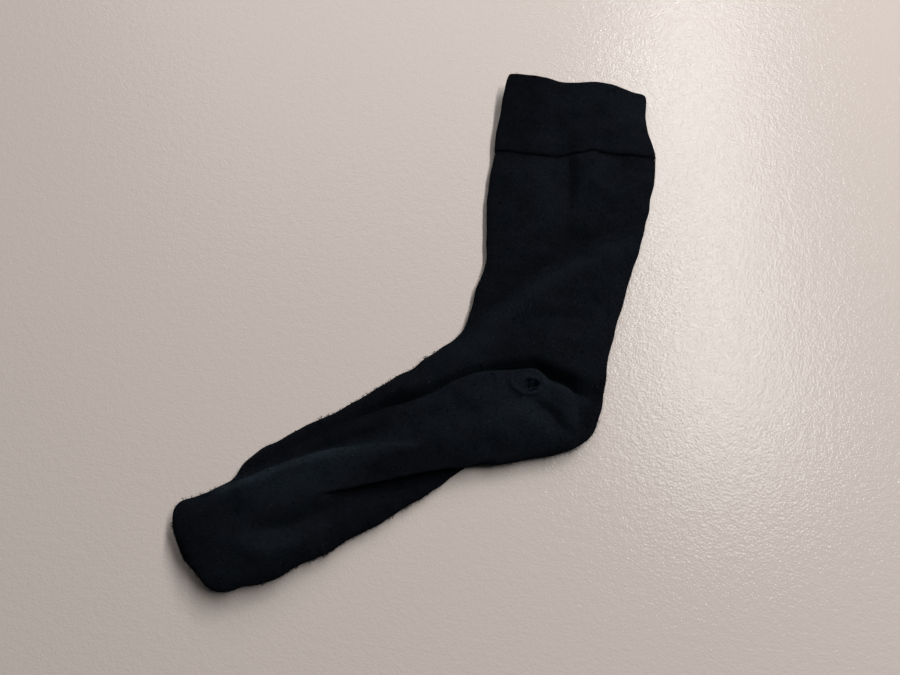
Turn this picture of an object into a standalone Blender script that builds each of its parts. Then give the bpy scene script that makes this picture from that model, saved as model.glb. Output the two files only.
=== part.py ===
"""A worn crew sock lying on its side: a turned welt and one knitted tube, both hollow.

The leg runs along +Y with its mouth at the +Y end, the foot turns towards -X and -Y, and the
underside lies on the plane z = 0. Tables are in millimetres; the meshes are in metres.
"""
import math
from collections import namedtuple

import bmesh
import bpy
import numpy as np

MM = 0.001

# Driving sizes, in millimetres.
KNIT_WALL = 2.2          # one layer of the brushed knit
WELT_WALL = 2.8          # the welt is the same knit, turned double
WELT_PROUD = 0.5         # how far the welt stands out over the leg
SEAM_GAP = 0.3           # between the welt and the leg
CAVITY_MIN = 0.9         # air left between the two layers where a fold presses them together
RING_STEP = 8.0          # longest distance between two rings of the leg and foot
WELT_STEP = 7.0          # the same on the welt
TOP_POINTS = 26          # points of a ring over the upper layer
UNDER_POINTS = 12        # points of a ring on the lower layer
EDGE_CROWDING = 0.6      # 0 spaces them evenly across the upper layer, 1 crowds the side edges
SIDE_ROUNDNESS = 3.0     # power of the upper layer's crown: 2 is an ellipse, more is flatter
UNDER_FLAT = 0.6         # share of the lower layer's width that lies flat on the table
UNDER_ROUNDNESS = 3.0    # power of the turn from there up to the side edges
SQUASH_SOFTNESS = 1.5    # how gently a fold pressed flat levels out at its lowest
EDGE_INSET = 1.15        # walls between a ring's side edge and the edge of its cavity
CAVITY_SQUARENESS = 6.0  # power of the cavity's ends: high keeps it full to its edges
TABLE_CENTRE = (2.55, -4.53)    # the table's point that becomes the part's origin

# The sock as sections from the mouth to the toe. front and back are the two side edges of a
# section in plan, on the instep side and on the heel side. crown is the height of the upper
# layer between them, rim_front and rim_back the heights of the side edges, and lift_front,
# lift_middle and lift_back how far the lower layer rises off the table there.
Section = namedtuple("Section", "name front back crown rim_front rim_back "
                                "lift_front lift_middle lift_back")
SECTIONS = (
    Section("mouth", (23.6, 156), (109, 156), 15.0, 12.0, 5.5, 7.0, 0.0, 0.8),
    Section("welt middle", (21.4, 131), (112, 135), 13.0, 8.5, 5.0, 4.0, 0.0, 0.4),
    Section("welt join", (21, 105), (118.5, 116), 11.5, 5.2, 4.6, 1.0, 0.0, 0.0),
    Section("upper leg", (21, 85), (119, 99), 11.0, 4.4, 4.4, 0.0, 0.0, 0.0),
    Section("calf", (22, 63), (116.8, 75), 11.0, 4.4, 4.4, 0.0, 0.0, 0.0),
    Section("lower leg", (25.4, 37), (113.2, 49), 11.0, 4.4, 4.4, 0.0, 0.0, 0.0),
    Section("above ankle", (23.4, 22), (108, 26), 12.0, 4.4, 4.4, 0.0, 0.0, 0.0),
    Section("ankle", (20.7, 7.5), (104, 4), 13.0, 4.6, 4.4, 0.0, 0.0, 0.0),
    Section("below ankle", (19.4, -4), (101, -14), 14.5, 5.0, 4.6, 0.0, 0.0, 0.0),
    Section("notch", (17.9, -11.4), (101, -29), 15.5, 5.4, 4.8, 0.0, 0.0, 0.0),
    Section("heel back", (14, -17.2), (100, -45), 17.0, 5.4, 5.0, 0.0, 0.0, 0.0),
    Section("heel corner", (9, -21.6), (95, -60), 18.0, 5.2, 5.4, 0.0, 0.0, 0.0),
    Section("heel base", (4, -26), (82.6, -69.4), 18.0, 5.0, 6.0, 0.0, 0.0, 0.0),
    Section("heel sole", (-1, -30), (67.5, -76.2), 17.5, 5.0, 6.4, 0.0, 0.0, 0.0),
    Section("arch top", (-6, -35.5), (53, -80.2), 16.0, 5.0, 6.6, 0.0, 0.0, 0.0),
    Section("arch", (-14, -42), (40, -83.8), 15.0, 4.8, 6.4, 0.0, 0.0, 0.0),
    Section("turn of the sole", (-22, -49), (30.2, -87), 14.0, 4.6, 5.4, 0.0, 0.0, 0.0),
    Section("waist", (-32, -57), (19.6, -96), 13.5, 4.4, 4.4, 0.0, 0.0, 0.0),
    Section("mid foot", (-44, -66), (7, -107), 13.0, 4.4, 4.4, 0.0, 0.0, 0.0),
    Section("front foot", (-55, -74), (-6, -118), 13.5, 4.4, 4.4, 0.0, 0.0, 0.0),
    Section("behind ball", (-67, -82), (-21, -129), 14.5, 4.4, 4.8, 0.0, 0.0, 0.3),
    Section("ball", (-78, -91), (-35.2, -140.2), 16.5, 4.6, 5.8, 0.4, 0.0, 1.0),
    Section("root of toes", (-87, -101), (-49.4, -148.4), 18.5, 5.8, 7.6, 1.2, 0.0, 2.2),
    Section("tuck", (-92, -111), (-60.8, -157.8), 20.0, 8.0, 9.5, 2.6, 0.0, 3.6),
    Section("toe box", (-99, -117), (-72, -162), 21.0, 11.0, 11.0, 4.4, 0.0, 5.0),
    Section("toe", (-105.5, -121), (-81, -165), 22.0, 12.5, 12.0, 6.0, 0.4, 6.2),
    Section("toe end", (-111, -125), (-88, -164), 22.0, 13.5, 12.5, 7.4, 1.6, 7.4),
    Section("toe tip", (-114, -130), (-94, -160), 20.5, 14.0, 13.0, 9.0, 4.5, 8.8),
    Section("toe seam", (-114, -136), (-102, -154), 17.5, 14.5, 13.8, 11.5, 9.5, 11.2),
)
WELT_JOIN = 2.0          # the section at which the welt meets the leg
TOE_SEAM = len(SECTIONS) - 1.0

# Folds of the upper layer. path is a curve in plan whose third column is the fold's strength;
# left and right are the height changes on the two sides of it, seen along the path, each dying
# away over its reach; edge is the width across which one side turns into the other.
Fold = namedtuple("Fold", "name path left left_reach right right_reach edge")
FOLDS = (
    Fold("ankle front valley", ((12, -17, 0.7), (24, -7, 1.0), (38, 7, 1.0), (52, 23, 1.0),
                                (68, 39, 0.9), (88, 54, 0.7), (112, 64, 0.3)),
         -4.2, 15, -3.6, 5, 4),
    Fold("ankle roll", ((22, -12, 0.4), (46, 8, 1.0), (70, 27, 1.0), (98, 42, 0.5)),
         2.0, 8, 2.0, 12, 4),
    Fold("ankle pucker", ((46, -6, 0.0), (56, 0, 1.0), (68, 3, 1.0), (82, 4, 0.8), (93, 0, 0.0)),
         -1.6, 5, -1.6, 4, 4),
    Fold("heel crease", ((103, -40, 0.7), (97, -37, 0.9), (86, -33, 1.0), (70, -28, 1.0),
                         (55, -23, 1.0), (43, -24, 0.8), (34, -28, 0.4), (26, -33, 0.0)),
         -10.0, 5, -10.0, 5, 4),
    Fold("heel pocket edge", ((30, -34, 0.0), (44, -31, 0.5), (55, -29, 1.0), (62, -31, 1.0),
                              (70, -36, 1.0), (78, -39, 1.0), (83, -44, 1.0), (87, -53, 0.9),
                              (88, -60, 0.5), (86, -66, 0.0)), -4.0, 5, 2.5, 10, 4),
    Fold("back of the heel", ((102, -30, 0.6), (98, -41, 1.0), (94, -51, 1.0), (90, -61, 0.4),
                              (84, -66, 0.0)), -6.0, 5, -6.0, 4, 4),
    Fold("instep crease", ((50, -21, 0.0), (41, -24, 0.8), (30, -30, 1.0), (10, -42, 1.0),
                           (-11, -52, 1.0), (-32, -63, 1.0), (-47, -73, 1.0), (-57, -81, 1.0),
                           (-67, -90, 1.0), (-79, -100, 0.9), (-91, -110, 0.6)),
         -9.0, 8, -9.0, 4, 3),
    Fold("dent in the heel", ((58, -42, 0.0), (66, -48, 0.8), (73, -50, 1.0), (78, -56, 1.0),
                              (84, -58, 0.6), (88, -59, 0.0)), -3.0, 4, -3.0, 5, 4),
    Fold("crest of the foot", ((-100, -116, 0.4), (-91, -113, 1.0), (-80, -108, 1.0),
                               (-73, -103, 1.0), (-63, -96, 1.0), (-53, -93, 0.9),
                               (-42, -88, 0.8), (-31, -85, 0.6), (-20, -81, 0.3),
                               (0, -77, 0.0)), -4.5, 9, 3.5, 12, 5),
    Fold("sole turned under", ((44, -80.5, 0.0), (28, -84.4, 1.0), (16, -87.6, 1.0), (5, -91.4, 1.0),
                               (-6, -96.6, 1.0), (-17, -100, 0.8), (-28, -104, 0.5),
                               (-44, -111, 0.0)), -8.0, 12, 1.5, 8, 5),
    Fold("toe valley", ((-30, -112, 0.0), (-45, -122, 0.8), (-50, -126, 1.0), (-57, -130, 1.0),
                        (-65, -132, 0.7), (-77, -131, 0.0)), -4.5, 6, -4.5, 6, 4),
    Fold("ball bulge", ((-88, -136, 0.0), (-72, -141, 0.8), (-60, -141, 1.0), (-48, -135, 1.0),
                        (-34, -125, 0.0)), 2.4, 6, 2.4, 6, 4),
    Fold("hollow of the leg", ((60, 122, 0.4), (65, 106, 1.0), (67, 95, 1.0), (69, 82, 1.0),
                               (68, 60, 0.0)), -2.6, 5, -2.6, 5, 4),
    Fold("hollow of the welt", ((52, 162, 1.0), (55, 146, 1.0), (60, 128, 0.6), (63, 112, 0.0)),
         -2.6, 9, -2.6, 9, 4),
    Fold("fall of the welt", ((100, 162, 1.0), (103, 144, 1.0), (108, 124, 0.0)),
         -2.4, 9, -2.4, 9, 4),
    Fold("ridge by the hollow", ((82, 122, 0.0), (80, 104, 1.0), (82, 88, 1.0), (84, 66, 0.0)),
         1.4, 7, 1.4, 7, 4),
    Fold("ridge of the shin", ((54, 112, 0.0), (52, 92, 1.0), (50, 74, 1.0), (42, 56, 0.0)),
         1.2, 9, 1.2, 9, 4),
    Fold("leg front dip", ((50, 76, 0.0), (41, 61, 1.0), (33, 48, 1.0), (25, 36, 0.4)),
         -2.4, 6, -2.4, 7, 4),
)
FOLD_SAMPLES = 6         # straight pieces between two points of a fold's path

# The hole worn through the upper layer of the heel, and the reach of its cutter in height.
HEEL_HOLE_PLACE = (57.0, -39.0)
HEEL_HOLE_RADII = (4.6, 3.8)
HEEL_HOLE_SIDES = 14
HEEL_HOLE_BOTTOM = 8.0
HEEL_HOLE_TOP = 28.0
HEEL_HOLE_TAPER = 1.2    # how much wider the hole is at the top of its cutter

WELT_COLOUR = (0.0095, 0.0110, 0.0135)
KNIT_COLOUR = (0.0100, 0.0120, 0.0145)
CLOTH_ROUGHNESS = 0.95
SHARP_ANGLE = math.radians(50)


def on_curve(table, place):
    """A row of the table at a fractional place, on the smooth curve through its rows."""
    last = len(table) - 1
    start = min(max(int(math.floor(place)), 0), last - 1)
    f = place - start
    p0 = table[max(start - 1, 0)]
    p1 = table[start]
    p2 = table[start + 1]
    p3 = table[min(start + 2, last)]
    cubic = 2 * p0 - 5 * p1 + 4 * p2 - p3
    return 0.5 * (2 * p1 + (p2 - p0) * f + cubic * f ** 2 + (3 * p1 - 3 * p2 + p3 - p0) * f ** 3)


SECTION_TABLE = np.array([(*s.front, *s.back, *s[3:]) for s in SECTIONS], dtype=float)


def section_at(place):
    """The section at a fractional place in the table."""
    row = on_curve(SECTION_TABLE, place)
    return Section("", row[0:2], row[2:4], *row[4:])


def fold_lines():
    """Each fold's path as a fine polyline of (x, y, strength)."""
    lines = []
    for fold in FOLDS:
        table = np.array(fold.path, dtype=float)
        count = (len(table) - 1) * FOLD_SAMPLES
        lines.append(np.array([on_curve(table, k / FOLD_SAMPLES) for k in range(count + 1)]))
    return lines


FOLD_LINES = fold_lines()


def fold_height(x, y):
    """Sum of the height changes that all folds make at a place in plan."""
    total = 0.0
    for fold, line in zip(FOLDS, FOLD_LINES):
        start = line[:-1, 0:2]
        step = line[1:, 0:2] - start
        reach = np.array((x, y)) - start
        along = np.clip((reach * step).sum(axis=1) / (step ** 2).sum(axis=1), 0.0, 1.0)
        miss = reach - step * along[:, None]
        distance = np.hypot(miss[:, 0], miss[:, 1])
        k = int(distance.argmin())
        cross = step[k, 0] * reach[k, 1] - step[k, 1] * reach[k, 0]
        side = math.copysign(distance[k], cross)
        strength = line[k, 2] + (line[k + 1, 2] - line[k, 2]) * along[k]
        left = fold.left * math.exp(-(max(side, 0.0) / fold.left_reach) ** 2)
        right = fold.right * math.exp(-(min(side, 0.0) / fold.right_reach) ** 2)
        share = min(max(side / fold.edge + 0.5, 0.0), 1.0)
        share = share * share * (3.0 - 2.0 * share)
        total += strength * (right + (left - right) * share)
    return total


def plan_place(section, across):
    """Plan position on a section, across from -1 at the front edge to 1 at the back edge."""
    middle = (section.front + section.back) / 2
    half = (section.back - section.front) / 2
    return middle + half * across


def upper_height(section, across, wall):
    """Height of the upper layer's outer face."""
    x, y = plan_place(section, across)
    lowest = 2 * wall + CAVITY_MIN
    crown = section.crown + fold_height(x, y)
    crown = 0.5 * (crown + lowest + math.hypot(crown - lowest, SQUASH_SOFTNESS))
    rim = section.rim_front + (section.rim_back - section.rim_front) * (across + 1) / 2
    swell = math.sqrt(max(1 - abs(across) ** SIDE_ROUNDNESS, 0.0))
    return rim + (crown - rim) * swell


def under_height(section, across):
    """Height of the lower layer's outer face: flat on the table, rising at its two edges."""
    rim = section.rim_front + (section.rim_back - section.rim_front) * (across + 1) / 2
    lift = section.lift_front if across < 0 else section.lift_back
    middle = max(section.lift_middle, 0.0)
    floor = middle + (max(lift, 0.0) - middle) * across ** 2
    beyond = max(abs(across) - UNDER_FLAT, 0.0) / (1 - UNDER_FLAT)
    turn = 1 - math.sqrt(max(1 - beyond ** UNDER_ROUNDNESS, 0.0))
    return floor + (rim - floor) * turn


def ring_places():
    """(across, upper) round a ring: over the upper layer, then back along the lower one."""
    upper = []
    for k in range(TOP_POINTS + 1):
        even = 2 * k / TOP_POINTS - 1
        crowded = -math.cos(math.pi * k / TOP_POINTS)
        upper.append((even + EDGE_CROWDING * (crowded - even), True))
    under = [(math.cos(math.pi * k / UNDER_POINTS), False) for k in range(1, UNDER_POINTS)]
    return upper + under


def outer_ring(place, wall, proud=0.0):
    """The outer face of the section at a place."""
    section = section_at(place)
    half = math.dist(section.front, section.back) / 2
    points = []
    for across, upper in ring_places():
        x, y = plan_place(section, across * (1 + proud / half))
        z = upper_height(section, across, wall) if upper else under_height(section, across)
        if upper:
            z += proud * math.sqrt(1 - across ** 2)
        points.append((x, y, z))
    return points


def inner_ring(place, wall):
    """The inner face: a wall's thickness inside the outer one, closed at its two edges."""
    section = section_at(place)
    half = math.dist(section.front, section.back) / 2
    points = []
    for across, upper in ring_places():
        inside = across * (1 - EDGE_INSET * wall / half)
        x, y = plan_place(section, inside)
        ceiling = upper_height(section, inside, wall) - wall
        floor = under_height(section, inside) + wall
        middle = (ceiling + floor) / 2
        gap = max((ceiling - floor) / 2, CAVITY_MIN / 2)
        gap *= math.sqrt(1 - abs(across) ** CAVITY_SQUARENESS)
        points.append((x, y, middle + gap if upper else middle - gap))
    return points


def places_between(first, last, step):
    """Places from one section to another, with rings no further apart than step at either edge."""
    fine = np.linspace(first, last, 60 * int(round(last - first)) + 1)
    rows = [section_at(place) for place in fine]
    travelled = [0.0]
    for a, b in zip(rows, rows[1:]):
        travelled.append(travelled[-1] + max(math.dist(a.front, b.front), math.dist(a.back, b.back)))
    count = math.ceil(travelled[-1] / step)
    return [float(np.interp(travelled[-1] * k / count, travelled, fine)) for k in range(count + 1)]


def add_ring(mesh, points):
    """Put a ring's points into the mesh, in metres, and give its vertices."""
    shift_x, shift_y = TABLE_CENTRE
    return [mesh.verts.new(((x - shift_x) * MM, (y - shift_y) * MM, z * MM)) for x, y, z in points]


def join_rings(mesh, rings):
    """Quads between each ring and the next."""
    for first, second in zip(rings, rings[1:]):
        for k in range(len(first)):
            after = (k + 1) % len(first)
            mesh.faces.new((first[k], first[after], second[after], second[k]))


def close_ring(mesh, ring):
    """A fan from the middle of a ring."""
    middle = sum((v.co for v in ring), ring[0].co * 0) / len(ring)
    hub = mesh.verts.new(middle)
    for k in range(len(ring)):
        mesh.faces.new((ring[k], ring[(k + 1) % len(ring)], hub))


def knit_material(name, colour, roughness):
    """A matte cloth material for one sub-part."""
    material = bpy.data.materials.new(name)
    material.use_nodes = True
    shader = material.node_tree.nodes["Principled BSDF"]
    shader.inputs["Base Color"].default_value = (*colour, 1.0)
    shader.inputs["Roughness"].default_value = roughness
    shader.inputs["Metallic"].default_value = 0.0
    return material


def finish(mesh, name, material):
    """Turn the bmesh into a named, smooth-shaded object with its faces pointing out."""
    bmesh.ops.recalc_face_normals(mesh, faces=mesh.faces)
    data = bpy.data.meshes.new(name)
    mesh.to_mesh(data)
    mesh.free()
    data.materials.append(material)
    data.shade_smooth()
    data.set_sharp_from_angle(angle=SHARP_ANGLE)
    thing = bpy.data.objects.new(name, data)
    bpy.context.collection.objects.link(thing)
    return thing


def make_welt(material):
    """The turned double welt: an open band whose upper edge is a rounded fold."""
    mesh = bmesh.new()
    step = WELT_JOIN / (len(places_between(0.0, WELT_JOIN, 1.0)) - 1)
    places = places_between(step * WELT_WALL / 2, WELT_JOIN - step * SEAM_GAP / 2, WELT_STEP)
    outer = [add_ring(mesh, outer_ring(p, WELT_WALL, WELT_PROUD)) for p in places]
    inner = [add_ring(mesh, inner_ring(p, WELT_WALL)) for p in places]
    edge_outer = np.array(outer_ring(0.0, WELT_WALL, WELT_PROUD))
    edge_inner = np.array(inner_ring(0.0, WELT_WALL))
    edge = add_ring(mesh, (edge_outer + edge_inner) / 2)
    join_rings(mesh, [*reversed(inner), edge, *outer, inner[-1]])
    return finish(mesh, "cuff_welt", material)


def make_tube(material):
    """The leg, heel, foot and toe in one hollow tube, open at the leg and closed at the toe."""
    mesh = bmesh.new()
    step = WELT_JOIN / (len(places_between(0.0, WELT_JOIN, 1.0)) - 1)
    places = places_between(WELT_JOIN + step * SEAM_GAP / 2, TOE_SEAM, RING_STEP)
    outer = [add_ring(mesh, outer_ring(p, KNIT_WALL)) for p in places]
    inside = [p for p in places if p < TOE_SEAM - 1.0]
    inner = [add_ring(mesh, inner_ring(p, KNIT_WALL)) for p in inside]
    join_rings(mesh, [*reversed(inner), *outer])
    close_ring(mesh, outer[-1])
    close_ring(mesh, inner[-1])
    return finish(mesh, "leg_and_foot", material)


def cut_heel_hole(tube):
    """Cut the worn hole through the upper layer only."""
    x, y = (HEEL_HOLE_PLACE[k] - TABLE_CENTRE[k] for k in range(2))
    mesh = bmesh.new()
    bmesh.ops.create_cone(mesh, cap_ends=True, segments=HEEL_HOLE_SIDES, radius1=1.0,
                          radius2=HEEL_HOLE_TAPER, depth=1.0)
    cutter = finish(mesh, "heel_hole_cutter", tube.data.materials[0])
    for vertex in cutter.data.vertices:
        vertex.co.x = (vertex.co.x * HEEL_HOLE_RADII[0] + x) * MM
        vertex.co.y = (vertex.co.y * HEEL_HOLE_RADII[1] + y) * MM
        share = vertex.co.z + 0.5
        vertex.co.z = (HEEL_HOLE_BOTTOM + (HEEL_HOLE_TOP - HEEL_HOLE_BOTTOM) * share) * MM
    cutter.hide_render = True
    cutter.display_type = "WIRE"
    boolean = tube.modifiers.new("heel hole", "BOOLEAN")
    boolean.operation = "DIFFERENCE"
    boolean.solver = "EXACT"
    boolean.object = cutter


def main():
    for thing in list(bpy.data.objects):
        bpy.data.objects.remove(thing)
    make_welt(knit_material("welt knit", WELT_COLOUR, CLOTH_ROUGHNESS))
    tube = make_tube(knit_material("brushed knit", KNIT_COLOUR, CLOTH_ROUGHNESS))
    cut_heel_hole(tube)


main()
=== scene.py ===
# %% [markdown]
# # A worn crew sock, lying on its side
#
# The real thing is knitted in one go on a small round machine: a welt that is turned double
# at the top, a leg, a heel pocket, a foot and a rounded toe. Nothing is cut and sewn, so the
# whole sock is one tube with a second, turned tube at its mouth.
#
# In Blender such a tube is best made as rings: closed loops of points that follow the sock
# from its mouth to its toe. Each ring is squashed flat on the table, and everything that makes
# it look like cloth is a change to where its points lie. This lesson goes through the rings,
# the folds, the wall's thickness, the worn hole, the knitted finish, and the loose fibres that
# make old cloth look old. Lengths are in millimetres until they reach a mesh.

# %% Load the frame
import math
from collections import namedtuple

import bmesh
import bpy
import numpy as np
from mathutils import Matrix, Vector


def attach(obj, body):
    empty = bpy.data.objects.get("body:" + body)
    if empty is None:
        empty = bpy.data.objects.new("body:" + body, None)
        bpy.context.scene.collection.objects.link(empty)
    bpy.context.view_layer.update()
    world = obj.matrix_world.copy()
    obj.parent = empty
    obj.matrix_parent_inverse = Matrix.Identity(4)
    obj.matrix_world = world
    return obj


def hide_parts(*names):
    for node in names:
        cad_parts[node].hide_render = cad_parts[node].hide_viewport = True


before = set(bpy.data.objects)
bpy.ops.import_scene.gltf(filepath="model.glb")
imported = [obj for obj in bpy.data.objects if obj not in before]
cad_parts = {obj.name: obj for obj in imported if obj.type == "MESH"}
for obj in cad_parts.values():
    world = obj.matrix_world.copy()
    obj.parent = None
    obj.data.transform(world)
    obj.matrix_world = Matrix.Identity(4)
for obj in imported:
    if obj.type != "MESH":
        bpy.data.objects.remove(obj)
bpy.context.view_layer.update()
MM = 0.001

# %% [markdown]
# ## Small helpers
#
# Colours are written the way a paint program shows them, as sRGB hex values, but Blender's
# shaders work with linear light, so one function turns one into the other. Another adds a node
# of any kind, sets it and links it in one go: a number or a colour given for an input is set
# there, a socket is linked, and a whole node stands for its first output.

# %% Helpers for colours, nodes and objects
SRGB_KNEE = 0.04045                  # below this, sRGB rises in a straight line


def linear(hex_colour):
    """An sRGB hex colour, such as "8fa3b0", as linear RGBA."""
    channels = [int(hex_colour[k:k + 2], 16) / 255 for k in (0, 2, 4)]
    bent = [c / 12.92 if c <= SRGB_KNEE else ((c + 0.055) / 1.055) ** 2.4 for c in channels]
    return (*bent, 1.0)


def fill(node, inputs):
    """Set or link some of a node's inputs."""
    for name, source in inputs.items():
        if isinstance(source, bpy.types.Node):
            source = source.outputs[0]
        if isinstance(source, bpy.types.NodeSocket):
            node.id_data.links.new(source, node.inputs[name])
        else:
            node.inputs[name].default_value = source


def add_node(tree, kind, inputs=None, **settings):
    """Add a node of a kind, set its properties and fill its inputs."""
    node = tree.nodes.new(kind)
    for name, value in settings.items():
        setattr(node, name, value)
    fill(node, inputs or {})
    return node


def new_material(name):
    """A new node material, its tree and its Principled shader."""
    material = bpy.data.materials.new(name)
    material.use_nodes = True
    return material, material.node_tree, material.node_tree.nodes["Principled BSDF"]


def put_in_scene(name, data):
    """An object that shows some data, in the scene."""
    thing = bpy.data.objects.new(name, data)
    bpy.context.collection.objects.link(thing)
    return thing


# %% [markdown]
# ## Camera
#
# The sock is seen from above, as someone sees it who stands at a table and looks down with a
# phone: about 36 cm up, leaning 15 degrees back, with the leg pointing a little to the right
# of straight up. A phone's main lens is wide, so nearby things spread towards the corners.
# The camera is placed by its foot point on the table, and its direction is worked out from
# the two angles.

# %% Camera
CAMERA_TURN = math.radians(8.4)      # the leg's direction against the view's upright
CAMERA_TILT = math.radians(15.0)     # away from looking straight down
CAMERA_HEIGHT = 0.360
CAMERA_FOOT = Vector((0.02268, -0.10530, 0.0))
LENS_MM = 26.0
turn = Matrix.Rotation(CAMERA_TURN, 4, "Z")


def table_place(x, y, z):
    """A place given from the camera's foot point, along the view's own directions."""
    return CAMERA_FOOT + turn @ Vector((x, y, z))


camera_data = bpy.data.cameras.new("camera")
camera_data.lens = LENS_MM
camera_data.sensor_width = 36.0
camera_data.clip_start = 0.01
camera = put_in_scene("camera", camera_data)
camera.matrix_world = (Matrix.Translation(table_place(0.0, 0.0, CAMERA_HEIGHT)) @ turn
                       @ Matrix.Rotation(CAMERA_TILT, 4, "X"))
bpy.context.scene.camera = camera
print("camera looks along", [round(v, 3) for v in camera.matrix_world.to_3x3() @ Vector((0, 0, -1))])

# %% [markdown]
# ## Light
#
# Cloth as dark as this shows its folds only if the light comes from one side. A long ceiling
# lamp beyond the right edge of the table does that: its shine lies on the paint there, and
# each fold keeps a dark shadow on its left. A window beyond the cuff softens those shadows,
# and a pale room fills them a little. The room looks much paler to the camera than it lights,
# so that a low view still has a pale background, with no more light on the cloth.

# %% Light
Lamp = namedtuple("Lamp", "name place size watts hangs_level")
LAMPS = (
    Lamp("long_lamp", (0.905, 1.125, 1.80), (0.20, 2.05), 64.5, True),
    Lamp("far_window", (-0.20, 1.35, 1.30), (1.40, 1.00), 10.5, False),
)
WORLD_STRENGTH = 0.030
SEEN_STRENGTH = 0.60                 # what the camera sees past the table's edge
AIM = table_place(0.0, 0.12, 0.0)

for lamp in LAMPS:
    data = bpy.data.lights.new(lamp.name, "AREA")
    data.shape = "RECTANGLE"
    data.size, data.size_y = lamp.size
    data.energy = lamp.watts
    thing = put_in_scene(lamp.name, data)
    thing.location = table_place(*lamp.place)
    if lamp.hangs_level:
        thing.rotation_euler = (0.0, 0.0, CAMERA_TURN)
    else:
        thing.rotation_euler = (thing.location - AIM).to_track_quat("Z", "Y").to_euler()
    print(lamp.name, "at", [round(v, 2) for v in thing.location])

world = bpy.data.worlds.new("pale room")
bpy.context.scene.world = world
world.use_nodes = True
seen = add_node(world.node_tree, "ShaderNodeLightPath").outputs["Is Camera Ray"]
strength = add_node(world.node_tree, "ShaderNodeMapRange", {
    "Value": seen, "To Min": WORLD_STRENGTH, "To Max": SEEN_STRENGTH})
fill(world.node_tree.nodes["Background"], {"Color": linear("f3f9ff"), "Strength": strength})
bpy.context.scene.view_settings.view_transform = "Standard"

# %% [markdown]
# ## Table top
#
# The table is a board with thick, pale, slightly pink paint put on with a roller. Rolled paint
# dries with a fine pebbled skin, which shows only where the lamp's shine breaks up on it. So
# the floor is one flat square, and the skin is a bump of two noises, about 1 and 4 mm across.

# %% Table top
FLOOR_SIZE = 3.0
FLOOR_DROP = 0.05 * MM               # just under the sock, so that the two never coincide
PEBBLES = (1.315, 3.85)              # across, in millimetres: the fine ones and the broad ones
PAINT_RELIEF = 0.00018               # in metres


def noise_scale(size):
    """The scale that gives a noise lumps of a size in millimetres, in whole lumps to the metre."""
    return float(round(1 / (size * MM)))


def roller_paint():
    """Satin alkyd paint, rolled on: a wide soft shine that the pebbled skin breaks into grains."""
    material, tree, shader = new_material("rolled satin paint")
    place = add_node(tree, "ShaderNodeTexCoord").outputs["Object"]
    fine, broad = [add_node(tree, "ShaderNodeTexNoise", {"Vector": place, "Scale": noise_scale(size),
                                                         "Detail": 2.0}) for size in PEBBLES]
    both = add_node(tree, "ShaderNodeMath", {0: fine, 1: broad}, operation="ADD")
    skin = add_node(tree, "ShaderNodeBump", {"Strength": 1.0, "Distance": PAINT_RELIEF, "Height": both})
    fill(shader, {"Base Color": linear("bfb4ad"), "Roughness": 0.18, "Specular IOR Level": 0.16,
                  "Normal": skin})
    return material


half = FLOOR_SIZE / 2
floor_mesh = bpy.data.meshes.new("table_top")
corners = ((-half, -half), (half, -half), (half, half), (-half, half))
floor_mesh.from_pydata([(x, y, -FLOOR_DROP) for x, y in corners], [], [(0, 1, 2, 3)])
floor = put_in_scene("table_top", floor_mesh)
floor_mesh.materials.append(roller_paint())
print("table top:", FLOOR_SIZE, "m square")

# %% [markdown]
# ## The sock as a table of sections
#
# Each row is one cut through the sock, from the mouth to the toe, in millimetres. `front` and
# `back` are its two side edges on the table: the shin and instep side, and the calf and sole
# side. `crown` is how high the upper layer stands between them, the two `rim` values are the
# heights of the side edges, and the three `lift` values say how far the lower layer leaves the
# table, 0 where they are left out. A smooth curve runs through the rows, so that a few rows
# give the whole outline.

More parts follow.
